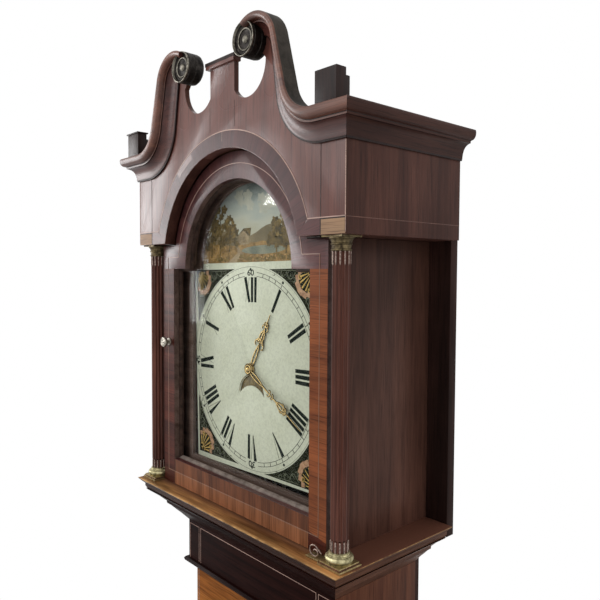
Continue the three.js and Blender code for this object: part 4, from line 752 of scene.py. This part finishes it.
# Tympanum veneers and strings
def add_tympanum():
    refine("tympanum", "front_veneer", "side_board", bevel=0.5)
    centre = (0, ARCH)
    inner, outer, edge = 168.6, 191.6, 249
    rim, seam = FRIEZE_HALF - 0.6, 207.7
    band = Form()
    band.plate([(165, FRIEZE + 0.6), (edge, FRIEZE + 0.6), (edge, BAND_TOP), (186, BAND_TOP),
                (175, FRIEZE + 12)], 0.2)
    band.mirror()
    start = math.degrees(math.asin((BAND_TOP + 1 - ARCH) / outer))
    foot = math.degrees(math.asin((FRIEZE + 0.4 - ARCH) / inner))
    round_band = arc(centre, outer, start, 180 - start, 72)
    band.plate(round_band + arc(centre, inner, 180 - foot, foot, 72), 0.25)
    put("tympanum_band", band, "hood", "arch_band")

    lines = Form()
    lines.strip([(184, BAND_TOP + 1), (rim - 0.1, BAND_TOP + 1)], 1.3, 0.4)
    lines.mirror()
    lines.strip(arc(centre, outer + 0.9, 17, 163, 72), 1.3, 0.4)
    lines.strip([(0.3, FRIEZE + 157), (-0.2, FRIEZE + 143)], 0.6, 0.32)
    put("tympanum_string", lines, "hood", "boxwood_string")

    worn = Form(sunk=0.3)
    worn.strip([(rim, FRIEZE + 2), (rim, CORNICE_BOTTOM - 1)], 1.1, 0.35)
    worn.mirror()
    put("frieze_worn_corners", worn, "hood", "boxwood_string")

    patch = Form()
    start, end = 116, 130.5
    patch.plate(arc(centre, outer - 0.2, start, end, 10) + arc(centre, 181, end, start, 10), 0.35)
    put("arch_patch", patch, "hood", "front_veneer")

    cap = Form()
    low, high, gap = FRIEZE + 252.4, FRIEZE + 260.3, 4.8
    cap.box((-36.2, -5.2, high - gap), (36.2, 8.2, high))
    cap.box((-34.6, -3, low), (34.6, 8.1, high - gap - 0.6))
    cap.mark = 1
    cap.box((-35.7, -4.2, high - gap - 0.6), (35.7, 8.1, high - gap))
    put("plinth_cap", cap, "hood", "dark_mahogany", "worn_moulding")
    crown = Form()
    crown.box((-255, -22, CORNICE_TOP + 37.2), (-215, -2, CORNICE_TOP + 39.3))
    put("finial_cap", crown, "hood", "dark_mahogany", bevel=0.4)

    joints = Form()
    joints.strip([(seam, BAND_TOP + 1), (seam, CORNICE_BOTTOM)], 0.9, 0.3)
    joints.strip([(seam - 0.4, FRIEZE + 0.5), (seam - 0.4, BAND_TOP + 0.4)], 1.4, 0.4)
    joints.strip([(31, FRIEZE + 160), (31, FRIEZE + 196)], 0.5, 0.2)
    joints.mirror()
    put("tympanum_joints", joints, "hood", "dark_mahogany")

    corner = Form()
    corner.box((seam + 0.7, -0.35, FRIEZE + 0.4), (rim, 0.1, BAND_TOP - 0.2))
    corner.mark = 1
    corner.box((seam - 0.1, -0.42, BAND_TOP - 1.4), (rim, 0.1, BAND_TOP))
    corner.mirror()
    put("corner_blocks", corner, "hood", "corner_block", "dark_mahogany")


# Columns
def add_shaft(side, x, y):
    flutes, radius, depth, steps = 12, 11.5, 2.4, 8
    section = []
    for i, (a, b) in enumerate(ring(flutes * steps)):
        share = i % steps / steps
        fall = math.sin(math.pi * min(max((share - 0.22) / 0.78, 0), 1)) ** 0.6
        reach = radius - depth * fall
        section.append((reach * a, reach * b))
    shaft = Form()
    shaft.sweep(section, upright(x, y, [1585.6, 1590, 1600, 1750, 1900, 1924, 1941.2]))
    put("shaft_" + side, shaft, "hood", "column_wood", stands_for=["column_" + side], smooth=50)


def add_reeds(form, places, profile, height):
    for x, y in places:
        form.lathe(profile, (x, y, height), count=10)


def add_foot(side, x, y):
    neck_height = 19
    foot = Form()
    foot.lathe([(0, 4), (16, 4), (16.8, 6.8), (15.6, 7.4)], (x, y, SHELF))
    torus = arc((14, 10.8), 4.2, -80, 80, 12)
    neck = [(14.6, 15.4), (13.2, 16.2), (12.9, 17.4), (13.4, 18.2), (12.4, 19), (11.2, 19.2)]
    foot.lathe([(0, 6)] + torus + neck, (x, y, SHELF))
    foot.mark = 1
    core = [(0, neck_height), (10.2, neck_height), (10.2, 32.6), (0, 32.6)]
    foot.lathe(core, (x, y, SHELF))
    foot.mark = 2
    reed = [(1.1, 0), (1.1, 12), (0.9, 13), (0.5, 13.8), (0, 14)]
    add_reeds(foot, ring(12, 10.8, (x, y), 0.6), reed, SHELF + neck_height)
    for half, low, high, mark in ((19.5, 0.3, 2.8, 3), (18.2, 2.8, 4, 1), (17.4, 4, 5.8, 3)):
        foot.mark = mark
        foot.box((x - half, y - half, SHELF + low), (x + half, y + half, SHELF + high))
    put("foot_" + side, foot, "hood", "old_brass", "column_wood", "reed_metal", "plinth_brass",
        stands_for=["column_base_" + side])


def add_head(side, x, y):
    head = Form()
    half, bow = 17.5, 12.5
    edge = curve((-half, -half), (0, -bow), (half, -half))[:-1]
    spots = [complex(a, b) * 1j ** quarter for quarter in range(4) for a, b in edge]
    slab = [(spot.real, spot.imag) for spot in spots]
    head.sweep(slab, upright(x, y, (FRIEZE - 2.6, FRIEZE - 0.4)))
    profile = [(0, 0), (12, 0)] + arc((12, 1.4), 1.1, -80, 80, 6) + [(11.9, 3), (12.2, 7.2)]
    profile += arc((12.6, 8.4), 0.9, -70, 70, 5) + [(12.4, 9.8)]
    profile += curve((12.6, 10.4), (13.2, 13.6), (15.6, 15.4), 6) + [(15.8, 16.6), (0, 17)]
    head.lathe(profile, (x, y, FRIEZE - 19.4))
    head.mark = 1
    reed = [(0, 0), (0.4, 0.6), (0.9, 2), (1.1, 5), (1.1, 18)]
    add_reeds(head, ring(12, 10.9, (x, y), 0.2), reed, FRIEZE - 37)
    put("head_" + side, head, "hood", "capital_brass", "reed_metal", stands_for=["capital_" + side])


def add_columns():
    out, depth = 224, 20
    for side, sign in SIDES:
        add_shaft(side, sign * out, depth)
        add_foot(side, sign * out, depth)
        add_head(side, sign * out, depth)


# Hood door
def break_arch(half, bottom, shoulder, radius):
    """Points of a rectangle with an arch on top, round from its lower left corner."""
    angle = math.degrees(math.asin((shoulder - SHOULDER) / radius))
    points = [(-half, bottom), (half, bottom), (half, shoulder)]
    return points + arc((0, SHOULDER), radius, angle, 180 - angle, 48) + [(-half, shoulder)]


def add_door_veneers():
    refine("hood_door", "arch_band", "mask_wood", bevel=0.6)
    bottom, middle, top = SHELF + 2.8, SHELF + 24, SHELF + 44.6
    half, near, far = 168, 168.8, 201.6
    rail = Form(DOOR_FRONT)
    rail.plate(rectangle(-half, half, bottom, top), 0.25)
    rail.mark = 1
    rail.plate(rectangle(-half, half, bottom, middle), 0.3)
    put("door_rail_veneer", rail, "hood_door", "rail_band", "rail_edge_band")

    stiles = Form(DOOR_FRONT)
    stiles.plate(rectangle(near, far, bottom, SHOULDER), 0.25)
    stiles.mark = 1
    stiles.plate(rectangle(-far, -near, bottom, SHOULDER), 0.25)
    stiles.mark = 2
    stiles.plate([(near, bottom), (far, bottom), (far, bottom + 17), (near, bottom + 24)], 0.28)
    put("door_stile_veneer", stiles, "hood_door", "stile_band", "left_stile_band", "left_stile_band")

    lines = Form(DOOR_FRONT)
    inset, spring = 187, FRIEZE - 22
    path = break_arch(inset, middle, spring, 154.5)
    widths = [1.5, 1.5] + [0.9] * (len(path) - 2)
    lines.strip(path, widths, 0.45, closed=True)
    lines.strip([(155, spring), (inset, spring)], 1.0, 0.5)
    for i, face in enumerate(lines.faces):
        upright_run = all(abs(abs(lines.points[p].x) - inset) < 2 for p in face)
        lines.marks[i] = 1 if upright_run else 0
    put("door_string", lines, "hood_door", "boxwood_string", "faded_string")


def add_glazing():
    bead = Form()
    section = [(0, 28), (0, 33.6), (4.4, 33.6), (4, 31.6), (3.2, 29.8), (1.8, 28.4)]
    outline = break_arch(168.4, SHELF + 45, SHOULDER, 132.5)
    bead.sweep(section, mitred(outline, True), closed=True)
    # The bottom run takes the paler bead: dust, with painted light on its top.
    bead.marks[:len(section)] = [1] * len(section)
    put("glazing_bead", bead, "hood_door", "sight_bead", "dust_and_light_bead")
    for slot in frame["nodes"]["hood_door_glass"].material_slots:
        slot.material = FINISH["old_glass"]


def add_door_metal():
    for end, finish in (("lower", "plinth_brass"), ("upper", "dark_bronze")):
        refine("hood_hinge_" + end, finish, bevel=0.2)
    depth, radius = 11, 1.0
    bend = [(204, 8), (200, 9), (196, 11.5), (190, 16), (182, 14), (179.5, 8), (182, 2.6)]
    bend += [(189, 1), (195, 3.6), (195.4, 9), (190.5, 11), (186.5, 8.4), (187.5, 6)]
    path = []
    for a, b, c in zip(bend, bend[1:], bend[2:]):
        start, end = (tuple((p + q) / 2 for p, q in zip(*pair)) for pair in ((a, b), (b, c)))
        path += [Vector((x, depth, SHELF + 1 + z)) for x, z in curve(start, b, end, 5)[:-1]]
    curl = Form()
    curl.sweep(ring(8, radius), twisted(path, (path[1] - path[0]).orthogonal()))
    put("hinge_curl", curl, "hood_door", "reed_metal")

    profile = [(0, 13.8), (1.2, 13.6), (1.8, 12.6), (2.4, 12.2), (3.6, 12.8), (4.6, 12.7)]
    profile += [(5.4, 11.8), (6.2, 11.6), (7.2, 12.4), (8, 12), (8.5, 10.8), (8.5, 9.4), (7.8, 7.8)]
    profile += [(5, 6), (3.3, 4.6), (3.3, 3.4), (4.4, 2.6), (6.2, 1.6), (6.4, 0.4), (2.2, 0.3)]
    profile += [(2.2, -24.5), (0, -24.5)]
    x, z = -185, SHELF + 244
    knob = Form()
    knob.lathe(profile, (x, DOOR_FRONT, z), (0, -1, 0), 40)
    knob.box((x - 2.5, 43.6, z - 12), (x + 2.5, 45.4, z + 2.5))
    put("door_knob", knob, "hood_knob", "knob_metal", stands_for=["hood_knob"])


# Dial
def draw(name, form, *finishes, lean=0.8, smooth=20):
    """Puts what is drawn about the hands' centre on the dial, turned by what the dial leans."""
    form.points = spun(form.points, lean, DIAL)
    put(name, form, "case", *finishes, smooth=smooth)


# The hours from the top round, and the width that each letter takes
WORDS = ("XII", "I", "II", "III", "IIII", "V", "VI", "VII", "VIII", "IX", "X", "XI")
WIDTHS = {"I": 8.3, "V": 15, "X": 15}


def add_numerals(fine):
    bars = Form(DIAL_FRONT, 0.2)
    low, high, spot_radius, height = 102, 140, 152, 0.12
    for hour, word in enumerate(WORDS):
        turn = math.radians(90 - 30 * hour)
        cos, sin = math.cos(turn), math.sin(turn)

        def at(a, r):
            spread = a * (0.95 + 0.1 * (r - low) / (high - low))
            return (cos * r + sin * spread, sin * r - cos * spread)

        a = -sum(WIDTHS[letter] for letter in word) / 2
        for letter in word:
            end = a + WIDTHS[letter]
            middle = (a + end) / 2
            if letter == "I":
                bars.strip([at(middle, low), at(middle, high)], [5.4, 6], height)
            elif letter == "V":
                bars.strip([at(a + 3.4, high + 1), at(middle + 0.6, low)], [7, 1.2], height)
                fine.strip([at(end - 1.6, high), at(middle + 1.2, low)], [1.1, 0.6], height)
            else:
                bars.strip([at(a + 3, high), at(end - 3, low)], [6.4, 5.6], height)
                fine.strip([at(end - 2, high), at(a + 2, low)], 0.8, height)
            a = end
        x, z = at(0, spot_radius)
        bars.lathe([(0, height), (2.2, height), (2.2, -0.1)], (x, DIAL_FRONT, z), (0, -1, 0), 12)
    draw("numerals", bars, "numeral_paint")


def add_minute_track(fine):
    track = Form(DIAL_FRONT, 0.2)
    inner, outer, rim = 142, 147.8, 156
    for minute in range(60):
        if minute % 15 not in (14, 0, 1):
            turn = math.radians(6 * minute)
            ends = [(r * math.sin(turn), r * math.cos(turn)) for r in (inner, outer)]
            track.strip(ends, 1.1, 0.17)
    for quarter in range(4):
        start = 90 * quarter + 6
        for radius in (inner, outer):
            track.strip(arc((0, 0), radius, start, start + 78, 40), 0.8, 0.12)
    draw("minute_track", track, "track_paint")
    fine.strip(arc((0, 0), rim, 0, 357, 119), 0.6, 0.12, closed=True)
    draw("fine_lines", fine, "fine_line_paint")


def add_minute_figures():
    size, wide, tall, radius = 10, 1.7, 1.3, 146.5
    for label, angle in (("60", 0), ("15", 90), ("30", 180), ("45", 270)):
        text = bpy.data.curves.new("figure_" + label, "FONT")
        text.body = label
        text.size = size
        text.offset = 0.16
        text.align_x = "CENTER"
        text.align_y = "CENTER"
        text.extrude = 0.06
        holder = add_object("holder_" + label, text)
        shape = bpy.data.meshes.new_from_object(
            holder.evaluated_get(bpy.context.evaluated_depsgraph_get())
        )
        bpy.data.objects.remove(holder)
        figure = Form()
        points = [v.co for v in shape.vertices]
        points = [(wide * p.x, DIAL_FRONT - 0.04 - p.z, radius + tall * p.y) for p in points]
        figure.add(spun(points, -angle), [tuple(p.vertices) for p in shape.polygons])
        bpy.data.meshes.remove(shape)
        draw("figure_" + label, figure, "numeral_paint")


# Corner paintings
def add_spandrels():
    ground, scrolls, shells, ribs = (Form(DIAL_FRONT, sunk) for sunk in (0.2, 0.1, 0.1, 0))
    low, high, radius, side = 154.8, 152.2, 158, 146.5
    slope, tilt = 0.0288, 0.0122
    hinge = (side - 5, side - 5)
    lobes = [(abs(i - 3) / 3, 179 + 92 * i / 6) for i in range(7)]
    curls = [
        (arc((hinge[0] - 1, hinge[1] - 6), 3.4, 60, 330, 14), 1.5),
        (arc((hinge[0] - 7, hinge[1] - 26), 3, 100, 380, 14), 1.2),
    ]
    bends = [
        arc((side - 9, side - 52), 6, 80, 330, 20), arc((side - 7, side - 68), 4.4, 120, 380, 16),
        arc((side - 16, side - 45), 3.6, -20, 250, 16), arc((side - 4, side - 82), 2.6, 150, 400, 12),
        [(side - 3, side - 40), (side - 2.4, side - 66), (side - 2, side - 94)],
    ]

    def fan(length, drop, lobe):
        made = [hinge]
        for share, angle in lobes:
            made += arc(hinge, length - drop * share ** 2, angle - lobe, angle + lobe, 4)
        return made

    for along, up in ((1, 1), (1, -1), (-1, 1), (-1, -1)):
        tall = high if up > 0 else low

        def placed(points, flip=False):
            points = [(z, x) for x, z in points] if flip else points
            made = [(along * x, up * (z + tall - side)) for x, z in points]
            return made if along * up > 0 else made[::-1]

        reach = math.degrees(math.acos(side / radius))
        rise = math.degrees(math.asin(min(tall, radius) / radius))
        corner = [(along * x, up * z) for x, z in arc((0, 0), radius, reach, rise, 24)]
        corner.append((along * (side + 1.8) - up * tall * slope, up * tall + along * side * tilt))
        ground.plate(corner if along * up > 0 else corner[::-1], 0.1)
        shells.mark = 0
        shells.plate(placed(fan(42, 12, 7.3)), 0.3)
        shells.mark = 1
        shells.plate(placed(fan(33, 10, 7.7)), 0.38)
        for share, angle in lobes:
            length = 31.5 - 10 * share ** 2
            path = [arc(hinge, r, angle, angle, 1)[0] for r in (8, length * 0.6, length)]
            ribs.strip(placed(path), [0.7, 1.7, 2.8], 0.5)
        for flip in (False, True):
            for path, width in curls:
                ribs.strip(placed(path, flip), width, 0.52)
            for path in bends:
                last = len(path) - 1
                widths = [0.5 + 1.1 * math.sin(math.pi * i / last) for i in range(last + 1)]
                scrolls.strip(placed(path, flip), widths, 0.28)
            for i in range(6):
                x, z = side - 4 - 3 * (i % 2), side - 42 - 9 * i
                leaf = curve((x, z), (x - 4, z + 2), (x - 7 + i, z - 5), 5)
                scrolls.strip(placed(leaf, flip), [0.4, 1.2, 1.5, 1.2, 0.7, 0.3], 0.26)
    for form in (scrolls, shells, ribs):
        form.points = [Vector((p.x - p.z * slope, p.y, p.z + p.x * tilt)) for p in form.points]
    draw("spandrel_ground", ground, "spandrel_ground", lean=0, smooth=35)
    draw("spandrel_scrolls", scrolls, "spandrel_scroll", lean=0, smooth=35)
    draw("spandrel_shells", shells, "shell_pink", "spandrel_ground", lean=0, smooth=35)
    draw("shell_ribs", ribs, "shell_gold", lean=0, smooth=35)


# Picture in the dial's arch: a plain landscape with sky, hills, a pool, a barn, trees and a bank
def add_arch_picture():
    chance = random.Random(7)
    floor, radius, centre = 163, 131.5, 151.5

    def inside(x, z):
        reach = math.hypot(x, z - centre)
        if z > centre and reach > radius:
            x, z = x * radius / reach, centre + (z - centre) * radius / reach
        return (max(min(x, radius), -radius), max(z, floor))

    def layer(name, outline, finish, height):
        form = Form(DIAL_FRONT)
        form.plate([inside(x, z) for x, z in outline], height)
        draw("picture_" + name, form, finish)

    def skyline(points, rough, count=60):
        made = []
        for i in range(count + 1):
            x = -radius + 2 * radius * i / count
            for (x0, z0), (x1, z1) in zip(points, points[1:]):
                if x0 <= x <= x1:
                    t = (x - x0) / (x1 - x0)
                    t = t * t * (3 - 2 * t)
                    made.append((x, z0 + (z1 - z0) * t + chance.uniform(-rough, rough)))
                    break
        return [(-radius, floor)] + made + [(radius, floor)]

    edge = math.degrees(math.asin((floor - centre) / radius))
    layer("sky", arc((0, centre), radius, edge, 180 - edge, 48), "sky_paint", 0.06)
    hills = [(-132, 205), (-60, 214), (-10, 202), (50, 218), (132, 200)]
    meadow = [(-132, 196), (-40, 190), (40, 194), (132, 192)]
    pool = [(30 + 52 * a, 181 + 6.5 * b) for a, b in ring(32)]
    path = [(-60, floor), (-24, floor), (-18, 178), (-34, 190), (-37, 190), (-32, 178)]
    barn = [(-30, 190), (-4, 190), (-4, 204), (-17, 213), (-30, 204)]
    roof = [(-34, 203), (-17, 215), (2, 215), (0, 203), (-4, 203), (-17, 212)]
    layer("hills", skyline(hills, 0.5), "hill_paint", 0.1)
    layer("meadow", skyline(meadow, 0.8), "bank_paint", 0.14)
    layer("pool", pool, "water_paint", 0.18)
    layer("path", path, "path_paint", 0.18)
    layer("barn", barn, "wall_paint", 0.2)
    layer("roof", roof, "leaf_paint", 0.24)

    def clump(form, x, z, size, height):
        points = []
        for i in range(22):
            angle = TAU * i / 22
            reach = size * (1 + 0.22 * math.sin(5 * angle + x) + chance.uniform(-0.12, 0.12))
            points.append(inside(x + reach * math.cos(angle), z + 0.8 * reach * math.sin(angle)))
        form.plate(points, height)

    def foliage(form, x, base, height, count, low, high, spread, wide, least, most, first):
        for i in range(count):
            up = height * (low + high * chance.random())
            reach = height * spread * (1.25 - up / height)
            clump(form, x + chance.uniform(-reach, reach) * wide, base + up,
                  least + most * chance.random(), first + 0.005 * i)

    stems, leaves, autumn, shrubs, flowers, clouds = (Form(DIAL_FRONT) for _ in range(6))
    groves = ((-104, 172, 82), (-80, 174, 90), (-54, 180, 58), (62, 176, 48), (84, 174, 66),
              (110, 172, 54))
    for x, base, height in groves:
        trunk = [(x, base), (x + 2, base + height * 0.5), (x - 1, base + height * 0.85)]
        stems.strip(trunk, [3.4, 2.2, 1.0], 0.24)
        foliage(leaves, x, base, height, count=22, low=0.2, high=0.75, spread=0.3, wide=1.3,
                least=4, most=5, first=0.26)
        foliage(autumn, x, base, height, count=12, low=0.4, high=0.55, spread=0.36, wide=1.2,
                least=1.6, most=2.6, first=0.36)
    for i in range(26):
        x = chance.uniform(-122, 122)
        clump(shrubs, x, floor + 2 + 7 * chance.random(), 3 + 4 * chance.random(), 0.3 + 0.004 * i)
        if i % 2:
            clump(flowers, x + 3, floor + 4 + 8 * chance.random(), 1.2, 0.42 + 0.004 * i)
    for i in range(14):
        clump(clouds, -40 + 90 * chance.random(), 240 + 26 * chance.random(),
              4 + 9 * chance.random(), 0.08 + 0.004 * i)
    for name, form, finish in (
        ("stems", stems, "leaf_paint"), ("leaves", leaves, "leaf_paint"),
        ("light_leaves", autumn, "autumn_paint"), ("shrubs", shrubs, "autumn_paint"),
        ("flowers", flowers, "flower_paint"), ("clouds", clouds, "cloud_paint"),
    ):
        draw("picture_" + name, form, finish)


def add_dial():
    refine("dial", "dial_paint", bevel=0.2)
    # The date disc's dark brown is partly painted shade behind the mouth.
    refine("date_disc", "disc_paint", bevel=0.1)
    mouth = Form(DIAL_FRONT)
    mouth.strip(arc((0, -39.7), 30.2, 2, 178, 30), [0.6] + [1.6] * 29 + [0.6], 0.14)
    draw("date_mouth_edge", mouth, "disc_paint", lean=0, smooth=35)
    fine = Form(DIAL_FRONT, 0.2)
    add_numerals(fine)
    add_minute_track(fine)
    add_minute_figures()


# Hands
def wheel_outline(radius, teeth, tooth):
    points = []
    shares = ((0.0, -0.5), (0.28, -0.5), (0.42, 0.5), (0.62, 0.5), (0.78, -0.5))
    for i in range(teeth):
        for share, out in shares:
            points += ring(1, radius + out * tooth, shift=(i + share) / teeth)
    return points


def hand_form(length, front, scrolls, open_to, crown):
    """A pierced hand: two bars that open and close, curls at the crown and a fine tip. It is drawn
    in gilt, and once more a little wider and deeper as its dark edge."""
    form = Form()
    for mark, grow in ((0, 0.0), (1, 1.3)):
        form.mark = mark
        form.face = front + 0.5 * mark
        form.sunk = 1.2 - 0.6 * mark
        for sign in (1, -1):
            bow = curve((sign * 1.6, 6), (sign * 5.6, (8 + open_to) / 2), (sign * 0.5, open_to))
            form.strip(bow, 1.4 + grow, 0)
            for at, size, width in scrolls:
                curl = arc((sign * size, at), size, 90 + sign * 90, 90 - sign * 160, 18)
                widths = [width + grow - 0.5 * width * i / 18 for i in range(19)]
                form.strip(curl, widths, 0)
            loop = curve((0, crown), (sign * 10, crown + 12), (0, crown + 26))
            form.strip(loop, 1.2 + grow, 0)
        form.strip([(0, open_to - 2), (0, length * 0.82), (0, length)],
                   [1.8 + grow, 1.2 + grow, 0.5 + grow / 2], 0)
    form.mark = 0
    hub = [(0, 0.9), (3, 0.9), (3.4, 0.2), (5, 0.2), (5.6, 0.8), (6.6, 0.9), (7.2, 0.2),
           (8.6, 0.1), (9, -0.5), (9, -1.2)]
    form.lathe(hub, (0, front, 0), (0, -1, 0), 40, (0, 0, 1, 0, 0, 0, 1, 0, 0))
    return form


def add_hand(name, form, angle, pipe, pipe_front, pipe_length, wheel, wheel_front):
    """A hand with the pipe and the wheel that carry it behind the dial."""
    form.lathe([(pipe, 0), (pipe, -pipe_length)], (0, pipe_front, 0), (0, -1, 0), 24)
    form.face, form.sunk = wheel_front, 1.5
    form.plate(wheel_outline(*wheel), 0)
    form.points = spun(form.points, -angle, DIAL)
    put(name + "_fine", form, name, "gilt", "numeral_paint", stands_for=[name])


def add_hands():
    minute_scrolls = (58, 2.6, 0.9), (66, 2.2, 0.8), (92, 3.6, 1.1), (99, 2.8, 1.0)
    hour_scrolls = (45, 5.2, 1.5), (50, 3.6, 1.2), (74, 3.4, 1.1), (80, 2.4, 0.9)
    minute = hand_form(140, 47, minute_scrolls, open_to=40, crown=78)
    add_hand("minute_hand", minute, angle=121, pipe=3.4, pipe_front=47.4, pipe_length=16.5,
             wheel=(30.2, 36, 2), wheel_front=62)
    hour = hand_form(98, 50.8, hour_scrolls, open_to=44, crown=46)
    add_hand("hour_hand", hour, angle=29.4, pipe=4.6, pipe_front=51.2, pipe_length=9.2,
             wheel=(56.3, 72, 2), wheel_front=58.5)


# Trunk and base strings
def add_trunk_trim():
    frieze, trunk = 55.5, 68
    low, high = 1411.7, 1473.7
    lines = Form(frieze, 0.2)
    for left, right in ((-178, -150), (-145, 145), (150, 178)):
        lines.border(left, right, low, high, 0.9, 0.3)
    lines.face = trunk
    lines.border(-170, 170, 628, 1398, 1.0, 0.3)
    lines.face = BASE_FRONT
    lines.border(-204, 204, 150, 548, 1.0, 0.3)
    put("case_strings", lines, "case", "boxwood_string")
    band = Form(BASE_FRONT, 0.2)
    band.border(-212, 212, 138, 557, 12, 0.2)
    put("base_crossband", band, "case", "rail_band")
    door = Form(trunk, 0.2)
    door.border(-103, 103, 683, 1292, 1.0, 0.45)
    put("trunk_door_string", door, "trunk_door", "boxwood_string")
    edge = Form(trunk, 0.2)
    edge.border(-111, 111, 675, 1300, 14, 0.3)
    put("trunk_door_crossband", edge, "trunk_door", "stile_band")


# Ropes
def rope(path, name, node):
    """Three strands laid round each other along a path."""
    step, lay = 3.5, 12
    fine = [Vector(path[0])]
    for a, b in zip(path, path[1:]):
        a, b = Vector(a), Vector(b)
        steps = max(1, round((b - a).length / step))
        fine += [a.lerp(b, (i + 1) / steps) for i in range(steps)]
    section = []
    for i, (a, b) in enumerate(ring(12)):
        reach = 1.62 + 0.36 * math.cos(TAU * i / 4)
        section.append((reach * a, reach * b))
    form = Form()
    form.sweep(section, twisted(fine, Vector((0, 1, 0)), lay))
    piece = put(name, form, None, "cotton_rope", smooth=70)
    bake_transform(piece)
    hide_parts(node)


def add_ropes():
    wrap, rope_y = 17.3, 106
    going, striking = (24, DIAL - 56.5), (-26, DIAL - 68.5)

    def bend(centre, radius, y, start, end):
        return [(x, y, z) for x, z in arc(centre, radius, start, end, 14)]

    weight = bend(going, wrap, rope_y, 91, 180)
    weight += bend((-1, 704), 22.3, 137, 0, -180)
    weight += bend(striking, wrap, rope_y, 0, 89)
    rope(weight, "weight_rope", "rope_weight_loop")
    slack = bend(going, wrap, rope_y, 89, 0)
    slack += bend((0, 1490), 13, 98, 0, -180)
    slack += bend(striking, wrap, rope_y, 180, 91)
    rope(slack, "slack_rope", "rope_ring_loop")


# Floor, light and background
def add_world():
    world = bpy.data.worlds.new("studio")
    bpy.context.scene.world = world
    world.use_nodes = True
    nodes = Nodes(world.node_tree)
    nodes.tree.nodes.remove(nodes.tree.nodes["Background"])
    fill = nodes.node("Background", {"Color": WHITE, "Strength": 0.34})
    seen = nodes.node("Background", {"Color": WHITE, "Strength": 1.0})
    rays = nodes.node("LightPath").node.outputs
    shown = rays["Is Camera Ray"]
    for other in ("Is Glossy Ray", "Is Transmission Ray"):
        shown = nodes.math("MAXIMUM", shown, rays[other])
    blend = nodes.node("MixShader", {0: shown, 1: fill, 2: seen})
    nodes.join(nodes.tree.nodes["World Output"], {"Surface": blend})


def add_floor():
    floor = Form()
    radius, bottom, top = 2300, -6, -0.5
    profile = [(0, bottom), (radius, bottom), (radius, top), (0, top)]
    floor.lathe(profile, (0, MIDDLE, 0), count=96)
    mesh = bpy.data.meshes.new("floor")
    mesh.from_pydata([metres(p) for p in floor.points], [], floor.faces)
    ground = Finish("floor", "none")
    grey = ground.noise(ground.place(), 3, 3)
    colour = ground.ramp(grey, (0.3, (0.8, 0.8, 0.79)), (0.7, (0.84, 0.84, 0.83)))
    ground.set(Base_Color=colour, Roughness=0.8, Specular_IOR_Level=0.2)
    mesh.materials.append(FINISH["floor"])
    add_object("floor", mesh)


def add_lamp(name, place, aim, size, power):
    data = bpy.data.lights.new(name, "AREA")
    data.shape = "RECTANGLE"
    data.size, data.size_y = size
    data.energy = power
    light = add_object(name, data)
    place, aim = Vector(place), Vector(aim)
    turn = (aim - place).to_track_quat("-Z", "Y").to_matrix().to_4x4()
    light.matrix_world = Matrix.Translation(place) @ turn
    light.visible_camera = False


def add_surroundings():
    bpy.context.scene.view_settings.view_transform = "Standard"
    add_world()
    add_floor()
    add_lamp("key", (-2.7, -1.3, 2.2), (-0.2, -0.11, 2.0), (0.8, 1.2), 32)
    add_lamp("front", (-0.5, -2.2, 3.1), (0, 0, 1.7), (2.0, 2.0), 33)
    add_lamp("side", (2.6, 0.2, 2.4), (0, 0, 1.6), (1.6, 2.0), 12)
    add_lamp("glint", (-1.698, -1.5195, 2.279), (0.0724, -0.075, 2.018), (0.06, 0.06), 0.8)


add_camera()
add_woods()
add_metals()
add_paints()
add_sky_and_glass()
add_case()
add_hood_carcase()
add_tympanum()
add_columns()
add_door_veneers()
add_glazing()
add_door_metal()
add_dial()
add_spandrels()
add_arch_picture()
add_hands()
add_trunk_trim()
add_movement()
add_ropes()
add_surroundings()
